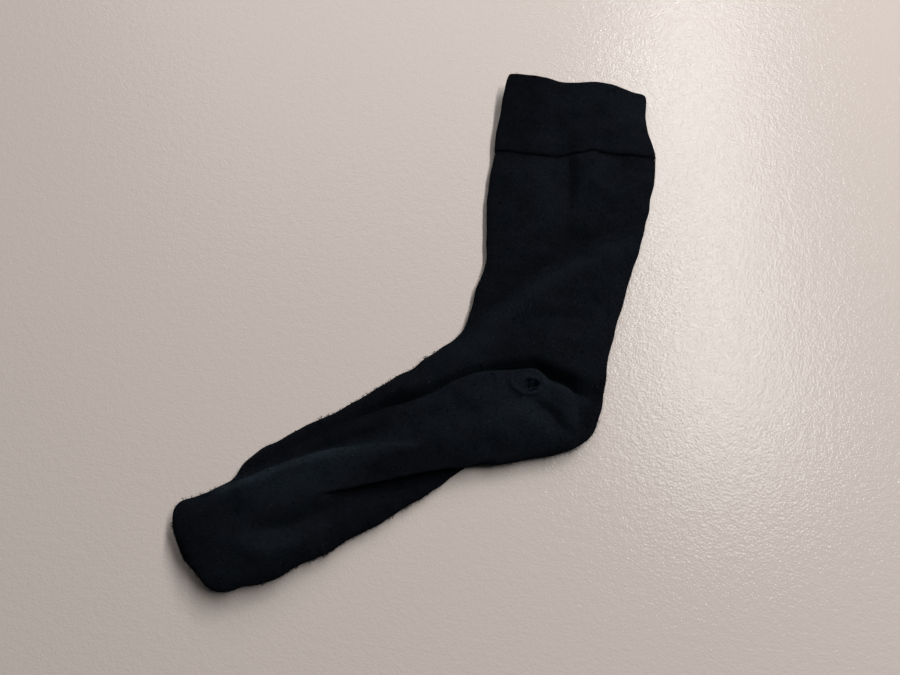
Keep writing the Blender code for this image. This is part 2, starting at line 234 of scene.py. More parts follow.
# %% Sections
Section = namedtuple("Section", "name front back crown rim_front rim_back "
                                "lift_front lift_middle lift_back", defaults=(0, 0, 0))
SECTIONS = [Section(*row) for row in (
    ("mouth", (23.6, 156), (109, 156), 15, 12, 5.5, 7, 0, 0.8),
    ("welt middle", (21.4, 131), (112, 135), 13, 8.5, 5, 4, 0, 0.4),
    ("welt join", (21, 105), (118.5, 116), 11.5, 5.2, 4.6, 1, 0, 0),
    ("upper leg", (21, 85), (119, 99), 11, 4.4, 4.4),
    ("calf", (22, 63), (116.8, 75), 11, 4.4, 4.4),
    ("lower leg", (25.4, 37), (113.2, 49), 11, 4.4, 4.4),
    ("above ankle", (23.4, 22), (108, 26), 12, 4.4, 4.4),
    ("ankle", (20.7, 7.5), (104, 4), 13, 4.6, 4.4),
    ("below ankle", (19.4, -4), (101, -14), 14.5, 5, 4.6),
    ("notch", (17.9, -11.4), (101, -29), 15.5, 5.4, 4.8),
    ("heel back", (14, -17.2), (100, -45), 17, 5.4, 5),
    ("heel corner", (9, -21.6), (95, -60), 18, 5.2, 5.4),
    ("heel base", (4, -26), (82.6, -69.4), 18, 5, 6.4, 0, 0, 0.6),
    ("heel sole", (-1, -30), (67.5, -76.2), 17.5, 5, 7.4, 0, 0, 1.6),
    ("arch top", (-6, -35.5), (53, -80.2), 16, 5, 8.2, 0, 0, 2.6),
    ("arch", (-14, -42), (40, -83.8), 15, 4.8, 8.4, 0, 0, 3),
    ("turn of the sole", (-22, -49), (30.2, -87), 14, 4.6, 6.8, 0, 0, 2),
    ("waist", (-32, -57), (19.6, -96), 13.5, 4.4, 4.6, 0, 0, 0.2),
    ("mid foot", (-44, -66), (7, -107), 13, 4.4, 4.4),
    ("front foot", (-55, -74), (-6, -118), 13.5, 4.4, 4.4),
    ("behind ball", (-67, -82), (-21, -129), 14.5, 4.4, 4.8, 0, 0, 0.3),
    ("ball", (-78, -91), (-35.2, -140.2), 16.5, 4.6, 5.8, 0.4, 0, 1),
    ("root of toes", (-87, -101), (-49.4, -148.4), 18.5, 5.8, 7.6, 1.2, 0, 2.2),
    ("tuck", (-92, -111), (-60.8, -157.8), 20, 8, 9.5, 2.6, 0, 3.6),
    ("toe box", (-99, -117), (-72, -162), 21, 11, 11, 4.4, 0, 5),
    ("toe", (-105.5, -121), (-81, -165), 22, 12.5, 12, 6, 0.4, 6.2),
    ("toe end", (-111.8, -124.2), (-88, -164), 22, 13.5, 12.5, 7.4, 1.6, 7.4),
    ("toe tip", (-115, -129.4), (-94, -160), 20.5, 14, 13, 9, 4.5, 8.8),
    ("toe seam", (-114, -136), (-102, -154), 17.5, 14.5, 13.8, 11.5, 9.5, 11.2),
)]
TABLE_CENTRE = np.array((2.55, -4.53))   # the table's point that is the frame's origin
SECTION_TABLE = np.array([(*s.front, *s.back, *s[3:]) for s in SECTIONS], dtype=float)
FRONT, BACK = slice(0, 2), slice(2, 4)   # the table's columns
CROWN, RIM_FRONT, RIM_BACK, LIFT_FRONT, LIFT_MIDDLE, LIFT_BACK = range(4, 10)
WELT_JOIN = 2.0                          # the row at which the welt meets the leg
TOE_SEAM = len(SECTIONS) - 1.0
print(len(SECTIONS), "sections")

# %% Smooth curve through the sections
FINE_PLACES = 3000                   # places at which the distance along the sock is kept


def on_curve(table, places):
    """Rows of a table at fractional places, on the smooth curve through its rows."""
    places = np.asarray(places, dtype=float)
    last = len(table) - 1
    start = np.clip(np.floor(places).astype(int), 0, last - 1)
    f = (places - start)[..., None]
    p0, p1, p2, p3 = (table[np.clip(start + k, 0, last)] for k in (-1, 0, 1, 2))
    cubic = 2 * p0 - 5 * p1 + 4 * p2 - p3
    return 0.5 * (2 * p1 + (p2 - p0) * f + cubic * f ** 2 + (3 * p1 - 3 * p2 + p3 - p0) * f ** 3)


fine_places = np.linspace(0.0, TOE_SEAM, FINE_PLACES)
steps = np.diff(on_curve(SECTION_TABLE, fine_places), axis=0)
longer = np.maximum(np.linalg.norm(steps[:, FRONT], axis=1), np.linalg.norm(steps[:, BACK], axis=1))
fine_travel = np.concatenate([[0.0], np.cumsum(longer)])
print("length from mouth to toe, at the wider edge: %.0f mm" % fine_travel[-1])

# %% [markdown]
# ## Folds
#
# Thick knitted cloth folds in long soft rolls with a few tight creases between them. Each fold
# is a line drawn over the sock: its `path` has a place at each point, and a strength where that
# isn't 1. Its `left` and `right` values raise or lower the cloth on the two sides, and each
# change dies away over its reach. The step between the two sides is as wide as `edge`. A `lean`
# moves the cloth sideways over the line, which turns a slope into a wall or an overhang: that
# is what makes a fold look folded and not embossed.

# %% Fold table
Fold = namedtuple("Fold", "name left left_reach left_lean right right_reach right_lean edge path")
FOLDS = [Fold(*row[:8], row[8:]) for row in (
    ("ankle front valley", -5.4, 15, 0, 1.2, 9, 1.8, 2.2, (12, -17, 0.4), (20, -9, 0.9), (27, -3), (41, 12),
     (55, 26), (70, 39, 0.9), (91, 55.5, 0.8), (112, 67, 0.4)),
    ("ankle roll", 1.2, 6, 0, 1.2, 9, 0, 4, (22, -12, 0.4), (46, 8), (70, 27), (98, 42, 0.5)),
    ("ankle pucker", -1.8, 4, 0.6, -1.8, 4, 0, 3, (46, -6, 0), (56, 0), (68, 3), (82, 4, 0.8), (93, 0, 0)),
    ("heel crease", -8, 3.4, 0.5, -8, 3.6, 1.4, 3, (102, -42, 0.2), (95, -40, 0.6), (88, -38.5, 0.9),
     (82, -36.2), (75, -33.6), (68.5, -31.6), (63.5, -28.8, 0.9), (57.5, -27.4, 0.6), (49.5, -29.2, 0.3),
     (41, -31.2, 0.1), (33, -34, 0)),
    ("hollow above the heel", -4, 4, 0, -4, 5, 0, 3, (64, -27, 0), (74, -30, 0.8), (84, -32.5), (92, -35),
     (100, -39, 0.6)),
    ("upper instep crease", -4.4, 2.6, 1, -4.4, 2.4, 1.2, 2, (59, -27, 0), (49.5, -29.2, 0.7),
     (41, -31.2, 0.9), (31, -34.3), (25, -37), (15, -42.6), (5, -49.6, 0.9), (-5, -55.5, 0.5),
     (-14, -61, 0)),
    ("heel pocket edge", -5, 5, 0, 2.2, 9, 1.2, 2.2, (22, -39, 0), (33, -35.2, 0.3), (41.4, -33.4, 0.5),
     (49.5, -31.8, 0.7), (57, -30, 0.9), (61, -29.6), (64.8, -32), (69, -35), (75, -36), (80, -38.3),
     (83, -43.8), (85.2, -51), (86, -58, 0.7), (85, -67, 0)),
    ("back of the heel", -7, 5, 0, -7, 4.4, 0, 4, (101, -34, 0.6), (97, -43), (93.5, -52), (90, -61, 0.5),
     (84, -67, 0)),
    ("instep crease", -7.5, 4.5, 0.4, -7.5, 3.6, 1.2, 2.2, (16, -42, 0), (4, -50, 0.5), (-8, -55.5, 0.9),
     (-20, -61.5, 0.9), (-34, -69.5, 0.6), (-47, -77, 0.45), (-57, -84, 0.4), (-67, -91.5, 0.4),
     (-79, -101, 0.5), (-91, -110, 0.5)),
    ("dent in the heel", -3.2, 2.6, 0.6, -3.2, 6, 0, 2.4, (57, -44, 0), (64.5, -49, 0.8), (71, -51.5),
     (75.5, -56.5), (81, -60, 0.7), (86, -61, 0)),
    ("crest of the foot", -5.5, 9, 0, 4, 11, 2.4, 2.4, (-99, -117.5, 0.4), (-88, -113.6), (-79, -109.1),
     (-72, -104.6), (-62, -98.6), (-52, -93.6), (-41, -88.6, 0.9), (-30, -85.4, 0.75), (-19, -82, 0.6),
     (-6, -79.5, 0.35), (6, -78.5, 0)),
    ("sole turned under", -9, 14, 0, 1.2, 8, 3.6, 2.6, (46, -80.5, 0), (37, -82.6, 0.5), (28, -84.6),
     (20, -86.2), (6, -90.6), (-8, -96.1), (-19, -100.3, 0.9), (-30, -105.6, 0.6), (-44, -111.5, 0)),
    ("toe valley", -4.5, 5, 0.5, -4.5, 5, 0.8, 3, (-30, -112, 0), (-45, -122, 0.8), (-50, -126),
     (-57, -130), (-65, -132, 0.7), (-77, -131, 0)),
    ("ball bulge", 2.4, 6, 0, 2.4, 6, 0, 4, (-88, -136, 0), (-72, -141, 0.8), (-60, -141), (-48, -135),
     (-34, -125, 0)),
    ("hollow of the leg", -2.8, 3.6, 0, -2.8, 9, 0, 4, (60, 122, 0.4), (65, 106), (67, 95), (68, 82),
     (67, 60, 0)),
    ("hollow of the welt", -2.6, 9, 0, -2.6, 9, 0, 4, (52, 162), (55, 146), (60, 128, 0.6), (63, 112, 0)),
    ("fall of the welt", -2.4, 9, 0, -2.4, 9, 0, 4, (100, 162), (103, 144), (108, 124, 0)),
    ("ridge by the hollow", 1.4, 7, 0, 1.4, 7, 0, 4, (82, 122, 0), (80, 104), (82, 88), (84, 66, 0)),
    ("ridge of the shin", 1.6, 9, 0, 1.6, 9, 0, 4, (54, 112, 0), (50, 92), (49, 74), (42, 56, 0)),
    ("leg front dip", -2, 6, 0, -2, 7, 0, 4, (50, 76, 0), (41, 61), (33, 48), (25, 36, 0.4)),
)]
print(len(FOLDS), "folds")

# %% [markdown]
# Between the folds, cloth is never quite smooth. Short, shallow creases lie about, most of them
# where the ankle and the heel have bent thousands of times. Each is a line from one place to
# another with a depth, so a negative depth is a trough and a positive one a ridge.

# %% Small creases
Crease = namedtuple("Crease", "start bend end depth width")
CREASES = [Crease(*row) for row in (
    ((60, 12), (72, 15), (86, 14), -0.9, 3), ((84, 24), (90, 14), (98, 8), -0.8, 3),
    ((58, -12), (72, -9), (90, -12), 0.9, 3.5), ((34, -8), (44, -12), (56, -12), -0.8, 3),
    ((30, 6), (40, 18), (52, 32), 0.7, 4), ((76, 40), (88, 46), (104, 50), 0.9, 4),
    ((80, 66), (94, 72), (110, 74), -0.8, 4), ((36, 30), (34, 50), (36, 70), 0.7, 5),
    ((94, 112), (98, 98), (98, 82), -1, 5), ((34, 108), (38, 96), (36, 82), -0.8, 5),
    ((34, 150), (38, 140), (40, 124), -0.8, 5), ((78, 150), (84, 138), (96, 128), 0.9, 5),
    ((66, 124), (76, 118), (90, 120), -0.7, 4), ((-2, -34), (-18, -45), (-34, -55), 0.8, 3),
    ((30, -52), (14, -60), (-4, -66), -0.8, 4), ((52, -60), (38, -68), (20, -74), 0.8, 4.5),
    ((60, -70), (48, -76), (34, -78), -0.7, 3.5), ((-8, -72), (-26, -76), (-44, -82), -0.8, 3.5),
    ((0, -88), (-18, -91), (-34, -95), 0.8, 3.5), ((-50, -100), (-62, -106), (-74, -114), -0.8, 4),
    ((-68, -112), (-80, -118), (-94, -122), 0.9, 4), ((-72, -124), (-86, -128), (-98, -134), -0.9, 4),
    ((-88, -148), (-80, -154), (-70, -152), -0.8, 3.5), ((2, -100), (-10, -108), (-22, -116), 0.7, 3),
    ((-52, -66), (-60, -74), (-72, -84), 0.6, 3),
)]
print(len(CREASES), "small creases")

# %% [markdown]
# The two tables become smooth height and lean fields. For each line, the nearest point on it is
# found for every point of the cloth at once, with numpy, because a loop over the shells' many
# thousand points would be slow. Points where a line's change has died away are left out of its
# sum to save time.

# %% Lines of the folds
FOLD_SAMPLES = 8                     # fine steps from one point of a path to the next
DIED_AWAY = 2.6                      # reaches from a line at which its change is left out


def line_of(path):
    """A path as a polyline of (x, y, strength), where a strength that isn't given is 1."""
    return np.array([(*point, 1.0)[:3] for point in path], dtype=float)


def smooth_line(path):
    """A path as a fine, smooth polyline of (x, y, strength)."""
    count = (len(path) - 1) * FOLD_SAMPLES
    return on_curve(line_of(path), np.arange(count + 1) / FOLD_SAMPLES)


def within_reach(line, points, reach):
    """Which points lie in the line's box, widened until its change has died away."""
    low = line[:, 0:2].min(axis=0) - DIED_AWAY * reach
    high = line[:, 0:2].max(axis=0) + DIED_AWAY * reach
    return np.all((points > low) & (points < high), axis=-1)


FOLD_LINES = [(fold, smooth_line(fold.path)) for fold in FOLDS]
CREASE_LINES = [(c, smooth_line(((*c.start, 0.0), c.bend, (*c.end, 0.0)))) for c in CREASES]
print(len(FOLD_LINES), "folds and", len(CREASE_LINES), "creases")

# %% Nearest place on a line
def nearest_on(line, points):
    """Signed distance to a line, its strength there and its left-hand normal, for each point."""
    best = np.full(len(points), np.inf)
    side = np.zeros(len(points))
    strength = np.zeros(len(points))
    normal = np.zeros((len(points), 2))
    for a, b in zip(line, line[1:]):
        step = b[0:2] - a[0:2]
        reach = points - a[0:2]
        along = np.clip((reach @ step) / (step @ step), 0.0, 1.0)
        miss = reach - along[:, None] * step
        distance = np.hypot(miss[:, 0], miss[:, 1])
        closer = distance < best
        best[closer] = distance[closer]
        cross = step[0] * reach[:, 1] - step[1] * reach[:, 0]
        side[closer] = (np.sign(cross) * distance)[closer]
        strength[closer] = (a[2] + (b[2] - a[2]) * along)[closer]
        normal[closer] = np.array((-step[1], step[0])) / np.hypot(*step)
    return side, strength, normal


# %% Fields of the folds
def smoothstep(value):
    """0 below 0, 1 above 1, and a smooth turn between."""
    value = np.clip(value, 0.0, 1.0)
    return value * value * (3.0 - 2.0 * value)


def fold_fields(points):
    """Height change and sideways lean that all folds make at points in plan."""
    height = np.zeros(points.shape[:-1])
    lean = np.zeros_like(points)
    for fold, line in FOLD_LINES:
        near = within_reach(line, points, max(fold.left_reach, fold.right_reach))
        side, strength, normal = nearest_on(line, points[near])
        share = smoothstep(side / fold.edge + 0.5)
        left_fade = np.exp(-(np.maximum(side, 0.0) / fold.left_reach) ** 2)
        right_fade = np.exp(-(np.minimum(side, 0.0) / fold.right_reach) ** 2)
        left = fold.left * left_fade
        right = fold.right * right_fade
        height[near] += strength * (right + (left - right) * share)
        push = fold.right_lean * right_fade * (1 - share) - fold.left_lean * left_fade * share
        lean[near] += (strength * push)[:, None] * normal
    for crease, line in CREASE_LINES:
        near = within_reach(line, points, crease.width)
        side, strength, _ = nearest_on(line, points[near])
        height[near] += crease.depth * strength * np.exp(-(side / crease.width) ** 2)
    return height, lean


# %% [markdown]
# Last comes a slow, aimless unevenness, as in any cloth that has been washed and worn. It is a
# sum of waves in random directions from one fixed seed, so that it is the same every time. The
# longer a wave, the higher it stands.

# %% Slow unevenness
WAVES = np.random.default_rng(11)
WAVE_COUNT = 14
wave_lengths = WAVES.uniform(9.0, 42.0, WAVE_COUNT)
wave_angles = WAVES.uniform(0.0, 2 * math.pi, WAVE_COUNT)
wave_starts = WAVES.uniform(0.0, 2 * math.pi, WAVE_COUNT)
wave_heights = 0.015 * wave_lengths ** 0.75


def unevenness(points):
    """Slow waves over the plan, in millimetres."""
    total = np.zeros(points.shape[:-1])
    for length, angle, start, height in zip(wave_lengths, wave_angles, wave_starts, wave_heights):
        phase = (points[..., 0] * math.cos(angle) + points[..., 1] * math.sin(angle)) / length
        total += height * np.sin(2 * math.pi * phase + start)
    return total


sample = np.stack(np.meshgrid(np.arange(-100, 100, 5.0), np.arange(-150, 150, 5.0)), -1)
print("unevenness up to %.2f mm" % np.abs(unevenness(sample)).max())

# %% [markdown]
# ## The worn hole
#
# A thumb-tip of a hole has worn through the upper layer at the heel. Its edge is a wobbly
# ellipse: yarns let go one at a time, so a hole in knitting is never a clean circle. The cloth
# round it has worn thin, and it curls up slightly.

# %% The hole's edge
HOLE_PLACE = np.array((58.6, -38.3))
HOLE_RADII = np.array((4.2, 3.6))
HOLE_WOBBLES = ((3, 0.07, 0.6), (7, 0.05, 0.0))   # swings round the edge, share, start
HOLE_CURL = 0.5                      # how high the cloth curls up at the hole's edge
CURL_REACH = 1.2
NUB_PLACE = np.array((56.4, -37.6))  # the stiff, felted ring that surrounds the hole
NUB_RADII = np.array((8.8, 6.2))
NUB_RIDGE = 1.0
NUB_BREADTH = 1.3
NUB_SAG = 0.5                        # how far the cloth sags inside the ring
NUB_SAG_REACH = 3.0
WORN_WALL = 0.8                      # thickness of the cloth at the hole
WORN_REACH = 3.0


def hole_measure(points):
    """Distance from the hole's middle as a share of the edge's distance that way: 1 on the edge."""
    away = (points - HOLE_PLACE) / HOLE_RADII
    angle = np.arctan2(away[..., 1], away[..., 0])
    edge = 1.0
    for swings, share, start in HOLE_WOBBLES:
        edge = edge + share * np.sin(swings * angle + start)
    return np.hypot(away[..., 0], away[..., 1]) / edge


def near_hole(points, reach):
    """1 at the hole's edge and inside it, fading to 0 over a reach in millimetres."""
    beyond = np.maximum(hole_measure(points) - 1, 0.0) * HOLE_RADII.mean()
    return np.exp(-(beyond / reach) ** 2)


def nub_height(points):
    """The felted ring's ridge, and the slight sag inside it."""
    away = (points - NUB_PLACE) / NUB_RADII
    beyond = (np.hypot(away[..., 0], away[..., 1]) - 1) * NUB_RADII.mean()
    return (NUB_RIDGE * np.exp(-(beyond / NUB_BREADTH) ** 2)
            - NUB_SAG * smoothstep(-beyond / NUB_SAG_REACH))


# %% [markdown]
# ## From sections to skins
#
# A skin is a grid of points: one row for each ring, one column for each step round it. The
# upper layer is a crown between the two side edges, the lower one lies flat and turns up at
# its edges. Where a fold presses the layers together, the upper one must still stay above the
# lower one, so its height is levelled out softly at two walls and a breath of air.

# %% Measures of a section
EDGE_RAG = 0.8                       # how ragged the two side edges are, against the unevenness


def section_rows(places):
    """The sections at places of any shape, with slightly ragged side edges."""
    rows = on_curve(SECTION_TABLE, places)
    across = rows[..., BACK] - rows[..., FRONT]
    across /= np.linalg.norm(across, axis=-1)[..., None]
    for edge in (FRONT, BACK):
        rows[..., edge] += EDGE_RAG * unevenness(rows[..., edge])[..., None] * across
    return rows


def width_of(rows):
    """The flat width of the sock at each section."""
    return np.linalg.norm(rows[..., BACK] - rows[..., FRONT], axis=-1)


def plan_of(rows, across):
    """Plan positions at each step across, -1 being the front edge and 1 the back edge."""
    middle = (rows[..., FRONT] + rows[..., BACK]) / 2
    return middle + (rows[..., BACK] - rows[..., FRONT]) / 2 * across[..., None]


def rim_of(rows, across):
    """Height of the side edges, blended across."""
    return rows[..., RIM_FRONT] + (rows[..., RIM_BACK] - rows[..., RIM_FRONT]) * (across + 1) / 2


# %% Heights of the two layers
CAVITY_MIN = 0.9                     # the least air between the two layers
SQUASH_SOFTNESS = 1.5
SIDE_ROUNDNESS = 3.0                 # powers that say how square the sides of a section are
UNDER_ROUNDNESS = 3.0
UNDER_FLAT = 0.6                     # the share of the underside that is flat
CALM_EDGE = 0.12                     # how far in from a side edge a lean sets in, in steps across


def upper_heights(rows, across, plan, wall):
    """Height and lean of the upper layer's outer face."""
    change, lean = fold_fields(plan)
    lowest = 2 * wall + CAVITY_MIN
    crown = rows[..., CROWN] + change + unevenness(plan)
    crown += nub_height(plan) + HOLE_CURL * near_hole(plan, CURL_REACH)
    crown = 0.5 * (crown + lowest + np.hypot(crown - lowest, SQUASH_SOFTNESS))
    rim = rim_of(rows, across)
    swell = np.sqrt(np.maximum(1 - np.abs(across) ** SIDE_ROUNDNESS, 0.0))
    calm = smoothstep((1 - np.abs(across)) / CALM_EDGE)
    return rim + (crown - rim) * swell, lean * calm[..., None]


def under_heights(rows, across):
    """Height of the lower layer's outer face."""
    rim = rim_of(rows, across)
    lift = np.maximum(np.where(across < 0, rows[..., LIFT_FRONT], rows[..., LIFT_BACK]), 0.0)
    middle = np.maximum(rows[..., LIFT_MIDDLE], 0.0)
    level = middle + (lift - middle) * across ** 2
    beyond = np.maximum(np.abs(across) - UNDER_FLAT, 0.0) / (1 - UNDER_FLAT)
    turned = 1 - np.sqrt(np.maximum(1 - beyond ** UNDER_ROUNDNESS, 0.0))
    return level + (rim - level) * turned


# %% Outer and inner skins
EDGE_INSET = 1.15                    # walls between the outer and the inner side edge
INSIDE_ROUNDNESS = 6
NEIGHBOURHOOD = 0.8                  # walls within which the inner face looks for the lowest place
NEIGHBOURS = 6


def skin_of(plan, lean, height, is_upper):
    """Points from their plan, the upper layer's lean and their height."""
    plan = plan + np.where(is_upper[..., None], lean, 0.0)
    return np.concatenate([plan, height[..., None]], axis=-1)


def outer_skin(places, across, is_upper, wall, proud=0.0):
    """The cloth's outer face at places and steps of one shape, in millimetres."""
    rows = section_rows(places)
    plan = plan_of(rows, across * (1 + 2 * proud / width_of(rows)))
    top, lean = upper_heights(rows, across, plan, wall)
    top = top + proud * np.sqrt(1 - across ** 2)
    return skin_of(plan, lean, np.where(is_upper, top, under_heights(rows, across)), is_upper)


def inner_skin(places, across, is_upper, wall):
    """The inner face: below the lowest of the upper layer's neighbourhood by a wall."""
    rows = section_rows(places)
    inside = across * (1 - 2 * EDGE_INSET * wall / width_of(rows))
    plan = plan_of(rows, inside)
    lowest, lean = upper_heights(rows, inside, plan, wall)
    for angle in np.arange(NEIGHBOURS) * (2 * math.pi / NEIGHBOURS):
        nearby = plan + NEIGHBOURHOOD * wall * np.array((math.cos(angle), math.sin(angle)))
        lowest = np.minimum(lowest, upper_heights(rows, inside, nearby, wall)[0])
    ceiling = lowest - wall + (wall - WORN_WALL) * near_hole(plan, WORN_REACH)
    ground = under_heights(rows, inside) + wall
    gap = np.maximum((ceiling - ground) / 2, CAVITY_MIN / 2)
    gap = gap * np.sqrt(1 - np.abs(across) ** INSIDE_ROUNDNESS)
    middle = np.maximum((ceiling + ground) / 2, ground + CAVITY_MIN / 2)
    return skin_of(plan, lean, np.where(is_upper, middle + gap, middle - gap), is_upper)


# %% [markdown]
# ## From skins to meshes
#
# A skin's rings are joined by four-sided faces, and each ring's last point joins back to its
# first one. Each face also gets UV coordinates that count stitches: U counts wales, the columns
# of loops that run along the sock, and V counts courses, the rows that run round it. The
# knitted relief can then follow the cloth through every fold.

# %% Mesh builder
WALES_ROUND = 168
COURSE = 0.85                        # height of one knitted course, in millimetres
UPPER_STEPS, UNDER_STEPS = 130, 44
UPPER_EVENNESS = 0.6                 # 1 for even steps, 0 for steps that crowd at the side edges
UNDER_EVENNESS = 0.4


def steps_round():
    """Steps across, whether each is on the upper layer, and the wale at each, all round."""
    even = np.linspace(-1.0, 1.0, UPPER_STEPS + 1)
    upper = UPPER_EVENNESS * even - (1 - UPPER_EVENNESS) * np.cos(math.pi * (even + 1) / 2)
    back = np.linspace(1.0, -1.0, UNDER_STEPS + 1)[1:-1]
    under = UNDER_EVENNESS * back + (1 - UNDER_EVENNESS) * np.sin(math.pi * back / 2)
    across = np.concatenate([upper, under])
    is_upper = np.arange(len(across)) <= UPPER_STEPS
    wale = np.where(is_upper, (across + 1) / 4, 0.5 + (1 - across) / 4) * WALES_ROUND
    return across, is_upper, np.append(wale, WALES_ROUND)


def band_mesh(name, rings, wale, course, closed_band):
    """A mesh of rings joined in turn, in metres about the frame's origin, with stitch UVs."""
    rings = np.array(rings)
    count, around = rings.shape[:2]
    rings = (rings - np.array((*TABLE_CENTRE, 0.0))) * MM
    row = np.arange(count if closed_band else count - 1)[:, None]
    column = np.arange(around)[None, :]
    next_row = (row + 1) % count
    next_column = (column + 1) % around

    def at_corners(*values):
        """Values at the four corners of every face."""
        return np.stack([np.broadcast_to(v, (len(row), around)) for v in values], axis=-1)

    faces = at_corners(row * around + column, next_row * around + column,
                       next_row * around + next_column, row * around + next_column)
    u = at_corners(wale[column], wale[column], wale[column + 1], wale[column + 1])
    v = at_corners(course[row], course[next_row], course[next_row], course[row])
    mesh = bpy.data.meshes.new(name)
    mesh.from_pydata(rings.reshape(-1, 3).tolist(), [], faces.reshape(-1, 4).tolist())
    layer = mesh.uv_layers.new(name="stitches")
    layer.data.foreach_set("uv", np.stack([u, v], axis=-1).astype(np.float32).ravel())
    return mesh


# %% Values and objects
def add_values(mesh, name, values, kind="FLOAT", key="value"):
    """Keep one number, or one vector, for each point of a mesh."""
    attribute = mesh.attributes.new(name, kind, "POINT")
    attribute.data.foreach_set(key, np.asarray(values, dtype=np.float32).ravel())


def add_object(mesh):
    """Put a mesh into the scene as a smooth-shaded object of the same name."""
    mesh.shade_smooth()
    triangles = sum(len(face.vertices) - 2 for face in mesh.polygons)
    print("%s: %d points, %d triangles" % (mesh.name, len(mesh.vertices), triangles))
    return put_in_scene(mesh.name, mesh)


# %% [markdown]
# ## The two ends of a wall
#
# The mouth of the welt is a fold, and where the welt meets the leg the cloth turns in on both
# sides. Both are rounded in the same way: near an end, the outer and the inner face draw
# together along a quarter circle until they meet in one ring.
#
# Neither edge is straight. The mouth waves, as elastic does when it has gone slack, and the
# join rises over the middle of the leg. A table gives each line's offset along the leg at
# several steps across, and the offset fades out away from the line.

# %% Ends and wavy lines
END_RADIUS = 1.3
END_RINGS = (0.0, 0.04, 0.16, 0.36, 0.62, 0.95, 1.3)   # distances of the rings nearest an end
LINE_FADE = 22.0                     # millimetres over which an offset fades out
LINE_SAMPLES = 8                     # fine steps from one row of a wavy line to the next
UNDER_JOIN = 3.0                     # the join's offset on the underside
MOUTH_WAVE = ((-1, 0), (-0.75, 0), (-0.45, 0.6), (-0.2, 1.7), (0, 1.4), (0.25, 0), (0.5, 0.5),
              (0.75, 1), (1, 0))     # pairs of a step across and an offset
JOIN_WAVE = ((-1, 1.2), (-0.73, 3.5), (-0.5, 5.4), (-0.29, 6), (-0.09, 4), (0.06, 3.3), (0.2, 1.5),
             (0.35, 2.7), (0.56, 4), (0.8, 4), (1, 3.2))
JOIN_TRAVEL = float(np.interp(WELT_JOIN, fine_places, fine_travel))


def offset_of(wave, across):
    """A wavy line's offset at steps across."""
    count = LINE_SAMPLES * len(wave)
    line = on_curve(np.array(wave, dtype=float), np.linspace(0.0, len(wave) - 1.0, count))
    return np.interp(across, line[:, 0], line[:, 1])


def waved_places(gone, across, is_upper):
    """Places for rings at distances gone from the mouth, bent to the two wavy lines."""
    gone = np.asarray(gone)[:, None]
    mouth = offset_of(MOUTH_WAVE, across)[None, :] * np.exp(-(gone / LINE_FADE) ** 2)
    join = np.where(is_upper, offset_of(JOIN_WAVE, across), UNDER_JOIN)[None, :]
    join = join * np.exp(-((gone - JOIN_TRAVEL) / LINE_FADE) ** 2)
    fine = np.interp(gone + mouth + join, fine_travel, fine_places)
    below = np.minimum(gone + mouth, 0.0) * fine_places[1] / fine_travel[1]
    return fine + np.where(gone + mouth + join < 0, below, 0.0)


def grid_round(gone):
    """Places, steps across and layers of a skin's points, for rings at distances gone."""
    places = waved_places(gone, across, is_upper)
    return places, np.broadcast_to(across, places.shape), np.broadcast_to(is_upper, places.shape)


def round_end(outer, inner, radius):
    """Draw the first rings of two skins together along a quarter circle."""
    for k, depth in enumerate(END_RINGS):
        share = math.sqrt(max(1 - (1 - min(depth / radius, 1.0)) ** 2, 0.0))
        middle = (outer[k] + inner[k]) / 2
        outer[k] = middle + (outer[k] - middle) * share
        inner[k] = middle + (inner[k] - middle) * share


across, is_upper, wale = steps_round()
print(len(across), "points to a ring; the join is %.0f mm from the mouth" % JOIN_TRAVEL)

# %% [markdown]
# ## The welt
#
# The welt is a closed band: out along its outer face, round the join, back along its inner
# face, and round the mouth. It stands half a millimetre proud of the leg, because the cloth is
# double here.

# %% Build the welt
WELT_WALL = 2.8
SEAM_GAP = 0.3
WELT_PROUD = 0.5
WELT_RING_STEP = 1.2
LIP_RING = 4                         # the ring of a rounded end that the join's groove lies by

welt_length = JOIN_TRAVEL - SEAM_GAP / 2
marks = np.arange(END_RADIUS, welt_length - END_RADIUS, WELT_RING_STEP)[1:]
gone = np.concatenate([END_RINGS, marks, welt_length - np.array(END_RINGS)[::-1]])
outer = outer_skin(*grid_round(gone), WELT_WALL, WELT_PROUD)
inner = inner_skin(*grid_round(gone), WELT_WALL)
round_end(outer, inner, WELT_WALL / 2)
outer, inner = outer[::-1].copy(), inner[::-1].copy()
round_end(outer, inner, END_RADIUS)
rings = np.concatenate([outer[::-1], inner[1:-1]])
welt_lip = outer[LIP_RING]
course = np.concatenate([gone, 2 * welt_length - gone[1:-1][::-1]]) / COURSE
welt_mesh = band_mesh("welt_shell", rings, wale, course, closed_band=True)
add_values(welt_mesh, "outer", np.repeat(np.arange(len(rings)) < len(gone), len(across)))
welt_shell = add_object(welt_mesh)

# %% [markdown]
# ## Leg, heel, foot and toe
#
# The rest is one tube. It starts at the join, a hair's breadth from the welt, and its inner
# face, which shows only at the mouth and in the hole, has a ring for every third outer one.
# At the toe the last rings shrink into a small rounded end, where the knitting was linked shut.

# %% Build the tube
KNIT_WALL = 2.2
TUBE_RING_STEP = 1.0
INNER_EVERY = 3
INNER_END = TOE_SEAM - 1.0           # the row before which the inside ends
GROOVE_AHEAD = 12                    # the ring that gives the leg's direction at the groove

